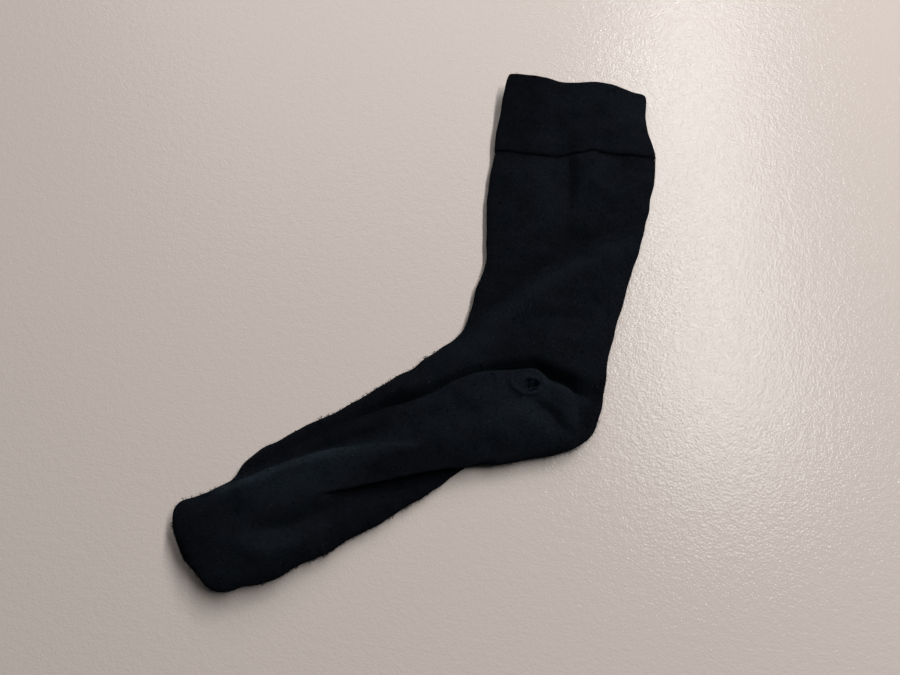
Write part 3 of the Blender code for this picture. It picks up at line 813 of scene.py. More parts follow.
start = JOIN_TRAVEL + SEAM_GAP / 2
marks = np.arange(start + END_RADIUS, fine_travel[-1], TUBE_RING_STEP)[1:]
gone = np.concatenate([start + np.array(END_RINGS), marks, [fine_travel[-1]]])
grid = grid_round(gone)
outer = outer_skin(*grid, KNIT_WALL)
ends = len(END_RINGS)
chosen = np.concatenate([np.arange(ends), np.arange(ends, len(gone), INNER_EVERY)])
chosen = chosen[grid[0][chosen].max(axis=1) < INNER_END]
inner = inner_skin(*(part[chosen] for part in grid), KNIT_WALL)
round_end(outer, inner, END_RADIUS)
groove_line = ((outer[LIP_RING] + welt_lip) / 2)[is_upper]
groove_ahead = (outer[GROOVE_AHEAD] - outer[LIP_RING]).mean(axis=0)

# %% Round the toe
TOE_CAP = (15, 32, 50, 66, 80)       # degrees round the toe's rounded end
TOE_CAP_BULGE = 0.9
TOE_BEHIND = -30                     # the ring that gives the foot's direction at the toe

hub = outer[-1].mean(axis=0)
toe_line = outer[-1][is_upper][-1] - outer[-1][is_upper][0]
ahead = np.array((toe_line[1], -toe_line[0], 0.0)) / np.hypot(toe_line[0], toe_line[1])
ahead *= np.sign(ahead @ (hub - outer[TOE_BEHIND].mean(axis=0)))
cap = [hub + (outer[-1] - hub) * math.cos(math.radians(a))
       + ahead * TOE_CAP_BULGE * math.sin(math.radians(a)) for a in TOE_CAP]
rings = np.concatenate([inner[:0:-1], outer, cap])
cap_travel = fine_travel[-1] + np.arange(1, len(cap) + 1)
course = np.concatenate([2 * start - gone[chosen][:0:-1], gone, cap_travel]) / COURSE
tube_mesh = band_mesh("knit_shell", rings, wale, course, closed_band=False)
add_values(tube_mesh, "outer", np.repeat(np.arange(len(rings)) >= len(inner) - 1, len(across)))
print("tube:", len(outer), "outer rings,", len(inner), "inner rings")

# %% [markdown]
# The tube's two ends are still open, so each last ring is closed with a fan of triangles. Then
# the hole is cut. Faces inside its edge are deleted from both faces of the upper layer, the
# loose points are moved onto the edge, and the two loops are joined by a rounded lip.

# %% Close the ends
mesh = bmesh.new()
mesh.from_mesh(tube_mesh)
outer_value = mesh.verts.layers.float["outer"]
around = len(across)
for first in (0, len(mesh.verts) - around):
    mesh.verts.ensure_lookup_table()
    ring = [mesh.verts[first + k] for k in range(around)]
    hub = mesh.verts.new(sum((v.co for v in ring), Vector()) / around)
    hub[outer_value] = ring[0][outer_value]
    for pair in zip(ring, ring[1:] + ring[:1]):
        mesh.faces.new((*(pair if first else pair[::-1]), hub))
mesh.normal_update()
print("open edges:", sum(edge.is_boundary for edge in mesh.edges))

# %% Cut the hole
UPPER_LAYER = 6.0                    # every height above this belongs to the upper layer here
EASINGS = 3                          # times that the points beside the hole are smoothed


def loop_from(edges):
    """The points of a closed loop of edges, in order, and the edges that aren't in it."""
    loop = [edges[0].verts[0], edges[0].verts[1]]
    left = set(edges) - {edges[0]}
    while left:
        following = next((e for e in left if loop[-1] in e.verts), None)
        if following is None:
            break
        left.discard(following)
        loop.append(following.other_vert(loop[-1]))
    return loop[:-1], left


def to_plan(co):
    """A point of the mesh as a place in plan, in millimetres."""
    return np.array((co.x, co.y)) / MM + TABLE_CENTRE


def snap_to_edge(vertex):
    """Move a point radially onto the hole's edge, keeping it on the cloth's slope."""
    away = to_plan(vertex.co) - HOLE_PLACE
    shift = away * (1 / hole_measure(HOLE_PLACE + away) - 1) * MM
    normal = vertex.normal
    vertex.co.z -= (normal.x * shift[0] + normal.y * shift[1]) / normal.z
    vertex.co.x += shift[0]
    vertex.co.y += shift[1]


doomed = []
for face in mesh.faces:
    middle = face.calc_center_median()
    if middle.z > UPPER_LAYER * MM and hole_measure(to_plan(middle)) < 1.0:
        doomed.append(face)
bmesh.ops.delete(mesh, geom=doomed, context="FACES")
mesh.edges.index_update()
first_loop, left = loop_from([edge for edge in mesh.edges if edge.is_boundary])
second_loop, left = loop_from(sorted(left, key=lambda edge: edge.index))
outer_loop, inner_loop = sorted((first_loop, second_loop), key=lambda loop: -loop[0][outer_value])
for vertex in outer_loop + inner_loop:
    snap_to_edge(vertex)
mesh.verts.index_update()
beside = {e.other_vert(v) for v in outer_loop + inner_loop for e in v.link_edges}
beside = sorted(beside - set(outer_loop + inner_loop), key=lambda vertex: vertex.index)
for _ in range(EASINGS):
    bmesh.ops.smooth_vert(mesh, verts=beside, factor=0.5, use_axis_x=True, use_axis_y=True,
                          use_axis_z=True)
print("points on the two loops:", len(outer_loop), len(inner_loop))

# %% Round the hole's edge
LIP_INWARD = 0.25                    # how far the lip bulges into the hole
LIP_DEPTH = 0.45                     # how far down the worn wall the lip's middle lies


def edges_of(mesh, loop):
    """The edges of a closed loop of points."""
    return [mesh.edges.get(pair) for pair in zip(loop, loop[1:] + loop[:1])]


lip = []
for vertex in outer_loop:
    away = to_plan(vertex.co) - HOLE_PLACE
    inward = -LIP_INWARD * MM * away / np.hypot(*away)
    lip.append(mesh.verts.new(vertex.co + Vector((*inward, -LIP_DEPTH * WORN_WALL * MM))))
    lip[-1][outer_value] = 1.0
for k in range(len(lip)):
    after = (k + 1) % len(lip)
    mesh.faces.new((outer_loop[k], outer_loop[after], lip[after], lip[k]))
bmesh.ops.bridge_loops(mesh, edges=edges_of(mesh, lip) + edges_of(mesh, inner_loop))
bmesh.ops.recalc_face_normals(mesh, faces=mesh.faces)
open_edges = sum(edge.is_boundary or not edge.is_manifold for edge in mesh.edges)
hole_rim = np.array([(*to_plan(v.co), v.co.z / MM) for v in outer_loop])
mesh.to_mesh(tube_mesh)
mesh.free()
knit_shell = add_object(tube_mesh)
print("hole:", len(hole_rim), "points on its edge; open edges left:", open_edges)

# %% [markdown]
# ## Where the cloth is worn, and where light and shade are painted
#
# Black cotton goes grey where it rubs: along the crest of the foot, over the heel, round the hole,
# on the folds of the ankle and at the toe. The same table also paints light and shade into the
# colour: painted highlight on ridges and slopes that face the lamp, and painted shade in creases,
# valleys, under the turned-under sole and along the join. Each stroke in the table below paints one
# such place: how far it spreads from its line, how strong it is, negative where the colour is
# darker, and a line in plan. The sum is kept as a value on every point of the meshes.

# %% Wear table
Stroke = namedtuple("Stroke", "spread amount path")


def strokes(*rows):
    """Strokes from rows of a spread, an amount and the points of a path."""
    return [Stroke(*row[:2], row[2:]) for row in rows]


WEAR_AND_PAINTED_LIGHT = strokes(
    # Lighter band down the shin, on the slope that faces the lamp: painted highlight.
    (10, 0.14, (50, 110), (52, 94), (54, 78), (50, 58)),
    # Lighter right side of the welt, towards the lamp: painted highlight.
    (13, 0.26, (99, 156), (101, 144), (105, 130)),
    (8, 0.12, (54, 140), (74, 146), (90, 150)),
    # Lighter along the ankle roll: rubbed grey on the fold, and painted highlight.
    (4.5, 0.24, (24, -12), (42, 2.5), (57, 17.5), (70, 29.5), (92, 45.5), (118, 61)),
    # Darker along the ankle's front valley: painted shade.
    (6, -0.12, (16, -6), (32, 9), (46, 24), (61, 37), (83, 53), (110, 69)),
    (6, 0.24, (6, -32), (24, -20), (38, -10)),
    (8, 0.1, (84, 112), (85, 98), (86, 84)),
    (7, 0.1, (106, 34), (102, 8), (98, -14)),
    (7, -0.14, (34, -22), (49, -21), (62, -18)),
    (17, 0.36, (8, -62), (36, -54), (60, -52), (80, -56)),
    (6, 0.18, (46, -38), (58, -33), (64, -38), (60, -48)),
    (4, 0.28, (56, -30), (70, -38), (80, -42), (83, -52), (81, -64)),
    # A thin light line along the crest of the foot: rubbed grey, and painted highlight on the lip.
    (2.4, 0.85, (-96, -118), (-90, -114.5), (-80, -109.5), (-72, -105), (-62, -99), (-52, -94), (-42, -89),
     (-30, -86)),
    (3.5, 0.4, (-50, -93), (-31, -86), (-19, -82.5), (0, -79)),
    (9, 0.42, (-84, -118), (-60, -106), (-40, -97), (-12, -90)),
    (7, 0.3, (-76, -137), (-58, -137), (-42, -129)),
    (6, 0.08, (-6, -85), (30, -82), (60, -76), (86, -66)),
    # Darker strip under the turned-under sole: painted shade.
    (7, -0.36, (38, -87), (10, -98), (-10, -106), (-34, -115)),
    # Darker along the edge of the turned-under sole: painted shade.
    (7, -0.46, (-28, -99), (-4, -90), (8, -86), (26, -83)),
    # Darker in the fold at the back of the heel: painted shade.
    (5, -0.34, (100, -28), (96, -44), (90, -60)),
    (8, -0.24, (-6, -60), (-24, -69), (-45, -81), (-80, -104)),
    (8, 0.16, (-24, -78), (-8, -72), (14, -66)),
    (5, -0.14, (-2, -50), (-24, -58), (-50, -74), (-84, -100)),
    (14, -0.1, (-104, -124), (-97, -140), (-90, -156)),
    (11, -0.06, (30, 50), (28, 30), (20, 2)),
    # Darker left side of the welt, which tilts away from the lamp: painted shade.
    (12, -0.3, (36, 114), (32, 136), (36, 160)),
    # Darker wall of the groove down the leg: painted shade.
    (3.5, -0.16, (69, 108), (70, 92), (70, 74)),
    # Darker along the foot's lower edge: painted shade.
    (8, -0.22, (-34, -152), (0, -122), (34, -98)),
    (8, -0.06, (30, 72), (40, 74), (44, 52)),
)
print(len(WEAR_AND_PAINTED_LIGHT), "strokes")

# %% Paint the wear
WEAR_EVERYWHERE = 0.13
GREYEST_SUM = 1.5                      # the sum at which the cloth is as grey as it gets
STROKE_END = 0.3                     # a stroke's strength at its two ends
# Painted shade: a darker line along the groove where the welt meets the leg.
JOIN_SHADE = Stroke(1.7, -0.5, groove_line[:, 0:2])
JOIN_FLAT = (-0.10, 0.22)            # steps across between which the join is smooth and flat
JOIN_FLAT_EDGE = 0.1
JOIN_FLAT_SHADE = 0.15               # how much of the shade is left there


def add_stroke(total, points, line, stroke):
    """Add one stroke along a line to the sum of rubbed grey and painted light and shade."""
    near = within_reach(line, points, stroke.spread)
    side, strength, _ = nearest_on(line, points[near])
    total[near] += stroke.amount * strength * np.exp(-(side / stroke.spread) ** 2)


def wear_and_painted_light_at(points):
    """How grey the cloth is at places in plan, from 0 for black to 1 for grey: rubbed cotton, with painted
    highlight and painted shade added.
    """
    total = np.full(len(points), WEAR_EVERYWHERE)
    for stroke in WEAR_AND_PAINTED_LIGHT:
        line = line_of(stroke.path)
        line[[0, -1], 2] = STROKE_END
        add_stroke(total, points, smooth_line(line), stroke)
    low, high = JOIN_FLAT
    place = across[is_upper]
    pressed = 1 - smoothstep((place - low + JOIN_FLAT_EDGE) / JOIN_FLAT_EDGE) * smoothstep(
        (high + JOIN_FLAT_EDGE - place) / JOIN_FLAT_EDGE)
    shade = JOIN_FLAT_SHADE + (1 - JOIN_FLAT_SHADE) * pressed
    add_stroke(total, points, np.column_stack([JOIN_SHADE.path, shade]), JOIN_SHADE)
    return np.clip(total / GREYEST_SUM, 0.0, 1.0)


def read_values(items, key, width):
    """Rows of a width, one for each item of a mesh."""
    flat = np.empty(width * len(items), dtype=np.float32)
    items.foreach_get(key, flat)
    return flat.reshape(-1, width)


def points_of(mesh):
    """A mesh's points in millimetres, in the sock's own plan."""
    return read_values(mesh.vertices, "co", 3).astype(float) / MM + np.array((*TABLE_CENTRE, 0.0))


# The value holds rubbed grey together with painted highlight and painted shade.
for shell in (welt_shell, knit_shell):
    worn = wear_and_painted_light_at(points_of(shell.data)[:, 0:2])
    add_values(shell.data, "worn", worn)
    print(shell.name, "worn: least %.2f, mean %.2f, most %.2f" % (worn.min(), worn.mean(), worn.max()))

# %% [markdown]
# ## The knit's material
#
# Seen from half a metre the stitches are barely there, because the cotton is brushed: a nap of
# loose fibres covers them. So the material has three scales:
#
# - stitches, from the UV coordinates: each wale is a rounded column and each course a slanting
#   V across it, both faint;
# - nap, from noise drawn out along the wales, so that it looks combed;
# - mottling, broad soft patches where the nap lies another way.
#
# The colour runs from black to grey with the wear and with the highlight and shade painted into it.
# There is no glossy reflection at all. A little sheen stands for the fibre ends that catch light at
# grazing angles.

# %% Stitch relief
V_SLANT = 0.6                        # courses that a loop rises over half a wale
V_HEIGHT = 0.35                      # a loop's height against its column's


def stitch_height(tree, uv):
    """Faint columns of V-shaped loops, from the stitch UVs."""
    part = add_node(tree, "ShaderNodeSeparateXYZ", {"Vector": uv})
    turn = add_node(tree, "ShaderNodeMath", {0: part.outputs["X"], 1: math.pi}, operation="MULTIPLY")
    wave = add_node(tree, "ShaderNodeMath", {0: turn}, operation="SINE")
    column = add_node(tree, "ShaderNodeMath", {0: wave}, operation="ABSOLUTE")
    slant = add_node(tree, "ShaderNodeMath", {0: column, 1: V_SLANT, 2: part.outputs["Y"]},
                     operation="MULTIPLY_ADD")
    turn = add_node(tree, "ShaderNodeMath", {0: slant, 1: 2 * math.pi}, operation="MULTIPLY")
    loop = add_node(tree, "ShaderNodeMath", {0: turn}, operation="SINE")
    return add_node(tree, "ShaderNodeMath", {0: loop, 1: V_HEIGHT, 2: column},
                    operation="MULTIPLY_ADD")


# %% Colour of the knit
BLACK = "0c0d11"
# The grey that rubbed cotton and painted highlight both reach.
GREY_OF_WEAR_AND_HIGHLIGHT = "1f262b"
TINTS = ((1.03, 0.985, 1.0), (0.96, 1.02, 1.02))   # the dye leans to plum or to slate
WEAR_PATCHES = 7.7                   # across, in millimetres
TINT_PATCHES = 13.3
PATCHINESS = 0.32


def knit_colour(tree, place, worn, nap):
    """Black to grey as the cotton is rubbed and as light and shade are painted, patchy, darker and lighter
    with the nap, and tinted.
    """
    patches = add_node(tree, "ShaderNodeTexNoise", {
        "Vector": place, "Scale": noise_scale(WEAR_PATCHES), "Detail": 4.0, "Roughness": 0.6})
    patchy = add_node(tree, "ShaderNodeMath", {0: patches, 1: -0.5}, operation="ADD")
    greyness = add_node(tree, "ShaderNodeMath", {0: patchy, 1: PATCHINESS, 2: worn},
                    operation="MULTIPLY_ADD", use_clamp=True)
    colour = add_node(tree, "ShaderNodeMix", {0: greyness, 6: linear(BLACK), 7: linear(GREY_OF_WEAR_AND_HIGHLIGHT)},
                      data_type="RGBA")
    tone = add_node(tree, "ShaderNodeMapRange", {"Value": nap, "From Min": 0.25, "From Max": 0.75,
                                                 "To Min": 0.55, "To Max": 1.45})
    shade = add_node(tree, "ShaderNodeVectorMath", {0: colour.outputs[2], 3: tone}, operation="SCALE")
    hue = add_node(tree, "ShaderNodeTexNoise", {"Vector": place, "Scale": noise_scale(TINT_PATCHES),
                                                "Detail": 3.0})
    lean = add_node(tree, "ShaderNodeMapRange", {"Value": hue, "From Min": 0.4, "From Max": 0.6})
    tint = add_node(tree, "ShaderNodeMix", {0: lean, 4: TINTS[0], 5: TINTS[1]}, data_type="VECTOR")
    return add_node(tree, "ShaderNodeVectorMath", {0: shade, 1: tint.outputs[1]}, operation="MULTIPLY")


# %% Knit material
NAP_CELLS = 0.9                      # noise cells to a wale, which is about 1.1 mm wide
NAP_STRETCH = 2.2
FIBRE_ENDS = 0.5263                  # in millimetres, coarser than real ones, which wouldn't show
KNIT_RELIEF = 0.00022                # in metres


def knit_cloth(name, stitch_relief, nap_relief):
    """Cotton terry, knitted, dyed black and brushed: soft, matte, greyer where it is rubbed, with painted
    highlight and painted shade in its colour.
    """
    material, tree, shader = new_material(name)
    place = add_node(tree, "ShaderNodeTexCoord").outputs["Object"]
    worn = add_node(tree, "ShaderNodeAttribute", attribute_name="worn").outputs["Fac"]
    uv = add_node(tree, "ShaderNodeUVMap", uv_map="stitches")
    combed = add_node(tree, "ShaderNodeMapping", {"Vector": uv, "Scale": (1.0, 1.0 / NAP_STRETCH, 1.0)})
    nap = add_node(tree, "ShaderNodeTexNoise", {"Vector": combed, "Scale": NAP_CELLS, "Detail": 5.0,
                                                "Roughness": 0.65, "Distortion": 0.6})
    fine = add_node(tree, "ShaderNodeTexNoise", {"Vector": place, "Scale": noise_scale(FIBRE_ENDS),
                                                 "Detail": 3.0})
    fuzz = add_node(tree, "ShaderNodeMath", {0: nap, 1: nap_relief, 2: fine}, operation="MULTIPLY_ADD")
    relief = add_node(tree, "ShaderNodeMath", {0: stitch_height(tree, uv), 1: stitch_relief, 2: fuzz},
                      operation="MULTIPLY_ADD")
    bump = add_node(tree, "ShaderNodeBump", {"Strength": 0.7, "Distance": KNIT_RELIEF, "Height": relief})
    fill(shader, {"Base Color": knit_colour(tree, place, worn, nap), "Normal": bump, "Roughness": 1.0,
                  "Specular IOR Level": 0.0, "Sheen Weight": 0.015, "Sheen Roughness": 0.5,
                  "Sheen Tint": linear("b9c4d6")})
    return material


knit_shell.data.materials.append(knit_cloth("brushed cotton knit", stitch_relief=0.8, nap_relief=2.4))
welt_shell.data.materials.append(knit_cloth("doubled cotton knit", stitch_relief=1.1, nap_relief=1.6))
print("materials:", [shell.data.materials[0].name for shell in (knit_shell, welt_shell)])

# %% [markdown]
# ## Scattering with Geometry Nodes
#
# Loose fibres, tufts, pills and lint are one idea: many small copies of a few shapes, thrown
# over the cloth. One Geometry Nodes tree does it for all four. It spreads points over the shell
# with a density that a named value on the mesh can thin out, stands a randomly chosen shape on
# each, turns and scales it at random, and ends in Realize Instances, so that what comes out is
# plain mesh. The seed is an input, so the same fibres fall in the same places every time.

# %% Start and end of a tree
def new_tree(name, **inputs):
    """A Geometry Nodes tree with inputs of the given names and kinds, and their sockets."""
    tree = bpy.data.node_groups.new(name, "GeometryNodeTree")
    for label, kind in inputs.items():
        tree.interface.new_socket(name=label, in_out="INPUT", socket_type="NodeSocket" + kind)
    tree.interface.new_socket(name="Pieces", in_out="OUTPUT", socket_type="NodeSocketGeometry")
    return tree, tree.nodes.new("NodeGroupInput").outputs


def end_tree(tree, copies, material):
    """Turn a tree's copies into plain mesh with a material, and send them out."""
    real = add_node(tree, "GeometryNodeRealizeInstances", {0: copies})
    coloured = add_node(tree, "GeometryNodeSetMaterial", {0: real, "Material": material})
    add_node(tree, "NodeGroupOutput", {0: coloured})
    return tree


# %% Scatter tree
def scatter_tree():
    """A tree that throws a collection's shapes over a mesh."""
    tree, given = new_tree("scatter over cloth", Cloth="Geometry", Shapes="Collection",
                           Density="Float", Map="String", Smallest="Float", Largest="Float",
                           Tilt="Float", Seed="Int", Material="Material")
    thinned = add_node(tree, "GeometryNodeInputNamedAttribute", {"Name": given["Map"]})
    density = add_node(tree, "ShaderNodeMath", {0: thinned, 1: given["Density"]}, operation="MULTIPLY")
    points = add_node(tree, "GeometryNodeDistributePointsOnFaces",
                      {"Mesh": given["Cloth"], "Density": density, "Seed": given["Seed"]})
    shapes = add_node(tree, "GeometryNodeCollectionInfo", {
        "Collection": given["Shapes"], "Separate Children": True, "Reset Children": True})
    lean = add_node(tree, "ShaderNodeCombineXYZ", {0: given["Tilt"], 1: given["Tilt"], 2: math.pi})
    back = add_node(tree, "ShaderNodeVectorMath", {0: lean, 1: (-1.0, -1.0, -1.0)},
                    operation="MULTIPLY")
    spin = add_node(tree, "FunctionNodeRandomValue", {0: back, 1: lean, "Seed": given["Seed"]},
                    data_type="FLOAT_VECTOR")
    size = add_node(tree, "FunctionNodeRandomValue", {
        2: given["Smallest"], 3: given["Largest"], "Seed": given["Seed"]}, data_type="FLOAT")
    local = add_node(tree, "FunctionNodeEulerToRotation", {"Euler": spin})
    turned = add_node(tree, "FunctionNodeRotateRotation", {
        "Rotation": points.outputs["Rotation"], "Rotate By": local}, rotation_space="LOCAL")
    placed = add_node(tree, "GeometryNodeInstanceOnPoints", {
        "Points": points, "Instance": shapes, "Pick Instance": True, "Rotation": turned,
        "Scale": size.outputs[1]})
    return end_tree(tree, placed, given["Material"])


# %% Run a tree
def mesh_from(carried):
    """The plain mesh that an object comes to. The object is removed."""
    depsgraph = bpy.context.evaluated_depsgraph_get()
    mesh = bpy.data.meshes.new_from_object(carried.evaluated_get(depsgraph))
    bpy.data.objects.remove(carried)
    return mesh


def run_tree(tree, mesh, name, **inputs):
    """Run a tree on a mesh and keep the result as a plain mesh object."""
    carrier = put_in_scene("carrier", mesh)
    modifier = carrier.modifiers.new("tree", "NODES")
    modifier.node_group = tree
    for item in tree.interface.items_tree:
        if item.name in inputs:
            modifier[item.identifier] = inputs[item.name]
    result = mesh_from(carrier)
    result.name = name
    places = read_values(result.vertices, "co", 3)
    places[:, 2] = np.maximum(places[:, 2], 0.0)     # what would go through the table lies on it
    result.vertices.foreach_set("co", places.ravel())
    return add_object(result)


print("tree inputs:", [item.name for item in scatter_tree().interface.items_tree])

# %% [markdown]
# The shapes to scatter are made once, at a length of about one metre, and each copy's scale is
# then its real length. A fibre is a thin three-sided thread that leaves the cloth, bends over
# and lies along it. A tuft is a few short fibres that start from one point. A pill is a lumpy
# ball of felted fibre. Lint is a short, bent, pale thread.

# %% Threads and stray fibres
THREAD_TAPER = 0.6                   # how much thinner a thread is at its tip
STRAY_RADIUS = 0.035


def thread_mesh(name, radius, *path):
    """A three-sided thread along a path, thinner to its tip."""
    path = np.array(path, dtype=float)
    corners = []
    for k, centre in enumerate(path):
        ahead = path[min(k + 1, len(path) - 1)] - path[max(k - 1, 0)]
        ahead /= np.linalg.norm(ahead)
        side = np.cross(ahead, (0.0, 0.3, 1.0))
        side /= np.linalg.norm(side)
        up = np.cross(side, ahead)
        thin = radius * (1 - THREAD_TAPER * k / (len(path) - 1))
        for corner in range(3):
            angle = 2 * math.pi * corner / 3
            corners.append(centre + thin * (math.cos(angle) * side + math.sin(angle) * up))
    count = len(corners)
    faces = [(0, 1, 2), (count - 1, count - 2, count - 3)]
    for first in range(0, count - 3, 3):
        for a, b in ((0, 1), (1, 2), (2, 0)):
            faces.append((first + a, first + 3 + a, first + 3 + b, first + b))
    mesh = bpy.data.meshes.new(name)
    mesh.from_pydata([tuple(c) for c in corners], [], faces)
    return mesh


def add_stray_fibres(body, draws, count, shortest, longest):
    """Add a few short curved fibres that start near a body's centre."""
    for _ in range(count):
        turn, bend = draws.uniform(0, 2 * math.pi), draws.uniform(-2.4, 2.4)
        reach, rise = draws.uniform(shortest, longest), draws.uniform(0.15, 0.6)
        path = [(0.0, 0.0, 0.0)]
        for share in (0.5, 1.0):
            angle = turn + bend * share
            path.append((reach * share * math.cos(angle), reach * share * math.sin(angle),
                         rise * math.sin(2.6 * share)))
        fibre = thread_mesh("stray_fibre", STRAY_RADIUS, *path)
        body.from_mesh(fibre)
        bpy.data.meshes.remove(fibre)


# %% Tufts and pills
PILL_LUMPS = (0.65, 1.1)
PILL_SQUASH = 0.55
PILL_RISE = 0.14


def keep_body(body, name):
    """Keep a body as a mesh of a name."""
    mesh = bpy.data.meshes.new(name)
    body.to_mesh(mesh)
    body.free()
    return mesh


def tuft_mesh(name, seed):
    """A few short fibres matted together."""
    tuft = bmesh.new()
    add_stray_fibres(tuft, np.random.default_rng(seed), 5, 0.3, 0.8)
    return keep_body(tuft, name)


def pill_mesh(name, seed):
    """A lumpy, flattened ball of matted cotton with a few fibres standing out of it."""
    draws = np.random.default_rng(seed)
    ball = bmesh.new()
    bmesh.ops.create_uvsphere(ball, u_segments=7, v_segments=4, radius=0.5)
    for vertex in ball.verts:
        vertex.co *= draws.uniform(*PILL_LUMPS)
        vertex.co.z = PILL_SQUASH * vertex.co.z + PILL_RISE
    add_stray_fibres(ball, draws, 2, 0.5, 1.1)
    mesh = keep_body(ball, name)
    mesh.shade_smooth()
    return mesh


# %% Shapes to scatter
def shape_collection(name, meshes):
    """A collection of shapes that isn't part of the scene."""
    shapes = bpy.data.collections.new(name)
    for mesh in meshes:
        shapes.objects.link(bpy.data.objects.new(mesh.name, mesh))
    print(name + ":", [len(mesh.vertices) for mesh in meshes], "points")
    return shapes


FIBRES = shape_collection("fibres", [
    thread_mesh("fibre_low", 0.016, (0, 0, -0.02), (0.40, 0.06, 0.12), (0.85, -0.05, 0.13)),
    thread_mesh("fibre_high", 0.016, (0, 0, -0.02), (0.18, 0.10, 0.26), (0.48, 0.26, 0.40)),
    thread_mesh("fibre_curled", 0.016, (0, 0, -0.02), (0.34, -0.16, 0.16), (0.36, -0.56, 0.18)),
])
TUFTS = shape_collection("tufts", [tuft_mesh("tuft_%d" % k, 20 + k) for k in range(4)])
PILLS = shape_collection("pills", [pill_mesh("pill_%d" % k, k) for k in range(4)])
LINT = shape_collection("lint", [
    thread_mesh("lint_bent", 0.06, (0, 0, 0.06), (0.2, 0.09, 0.15), (0.45, 0.12, 0.18),
                (0.7, 0.03, 0.15), (0.9, -0.12, 0.08)),
    thread_mesh("lint_curl", 0.07, (0, 0, 0.06), (0.22, 0.08, 0.14), (0.36, 0.28, 0.18),
                (0.28, 0.5, 0.16), (0.06, 0.6, 0.10)),
    thread_mesh("lint_speck", 0.16, (0, 0, 0.08), (0.2, 0.05, 0.16), (0.4, 0.0, 0.1)),
])

# %% [markdown]
# The fibres are the same cotton as the knit, a little greyer, since thin threads let light
# through. Lint is pale, and lies mostly where the sock was handled and walked on.

# %% Fibre, pill and lint materials
TONE_PATCHES = 4.17                  # across, in millimetres
FELT_LUMPS = 0.2                     # coarser than real fibre ends, which wouldn't show


def plain_fibre(name, hex_colour, felt=0.0):
    """Spun cotton come loose: matte hairs, some darker and some paler, with no shine."""
    material, tree, shader = new_material(name)
    place = add_node(tree, "ShaderNodeTexCoord").outputs["Object"]
    noise = add_node(tree, "ShaderNodeTexNoise", {"Vector": place, "Scale": noise_scale(TONE_PATCHES),
                                                  "Detail": 1.0})
    tone = add_node(tree, "ShaderNodeMapRange", {"Value": noise, "From Min": 0.3, "From Max": 0.7,
                                                 "To Min": 0.45, "To Max": 1.55})
    shade = add_node(tree, "ShaderNodeVectorMath", {0: linear(hex_colour)[0:3], 3: tone},
                     operation="SCALE")
    fill(shader, {"Base Color": shade, "Roughness": 1.0, "Specular IOR Level": 0.0})
    if felt:
        lumps = add_node(tree, "ShaderNodeTexNoise", {"Vector": place, "Scale": noise_scale(FELT_LUMPS),
                                                      "Detail": 3.0, "Distortion": 1.5})
        fill(shader, {"Normal": add_node(tree, "ShaderNodeBump", {"Distance": felt, "Height": lumps})})
    return material


loose_cotton = plain_fibre("loose black cotton", "13161a")
pilled_cotton = plain_fibre("pilled cotton", "14181d", felt=0.0003)
pale_lint = plain_fibre("pale lint", "3d4148")
print("materials:", [material.name for material in (loose_cotton, pilled_cotton, pale_lint)])

# %% [markdown]
# Each kind needs its own map of where it lies: a value everywhere, and more along some lines.
# All four keep off the inside and off the underside, where the cloth presses on the table.
# Pills gather on the foot, where it rubs in the shoe, tufts along the edges of the foot, and
# lint on the heel, round the ankle and along the lower edge of the welt.

# %% Kinds to scatter
Kind = namedtuple("Kind", "name shapes density smallest largest tilt material everywhere more")
KINDS = (
    Kind("fuzz", FIBRES, 3.4e5, 1.2, 3.2, 0.5, loose_cotton, 1.0, ()),
    Kind("pills", PILLS, 3.4e4, 0.45, 1.25, 0.3, pilled_cotton, 0.12, strokes(
        (9, 1, (30, -92), (-10, -110), (-50, -136), (-80, -150)),
        (10, 0.35, (40, -40), (0, -60), (-40, -84)),
        (10, 0.5, (84, 20), (98, 0), (96, -16)),
        (12, 0.5, (-92, -124), (-84, -146)),
    )),
    Kind("lint", LINT, 2.2e4, 0.25, 1.3, 0.3, pale_lint, 0.30, strokes(
        (18, 1.1, (20, -56), (46, -46), (72, -54)),
        (6, 1, (30, -84), (60, -76)),
        (9, 0.9, (36, -10), (62, -14), (90, -14)),
        (7, 1.1, (104, 34), (102, 4), (98, -20)),
        (8, 1.2, (28, 108), (36, 110)),
        (8, 1, (66, 116), (92, 116)),
        (10, 0.6, (60, 140), (82, 146)),
        (9, 0.5, (-20, -84), (-60, -104)),
        (14, 0.4, (-92, -134), (-80, -146)),
    )),
    Kind("tufts", TUFTS, 1.7e5, 1.2, 3.0, 0.3, pilled_cotton, 0.03, strokes(
        (6, 1, (-58, -154), (-35, -140), (-21, -129), (-6, -118), (8, -106)),
        (5, 0.45, (-58, -76), (-44, -66), (-32, -57), (-14, -42), (4, -27)),
        (5, 0.6, (101, -29), (100, -45), (94, -61), (82, -70)),
        (7, 0.35, (-99, -117), (-114, -132), (-108, -150), (-90, -163)),
    )),
)

print("kinds:", [kind.name for kind in KINDS])

# %% Scatter them
OFF_TABLE = (1.5, 3.0)               # heights between which the scattering sets in
FIRST_SEED = 5

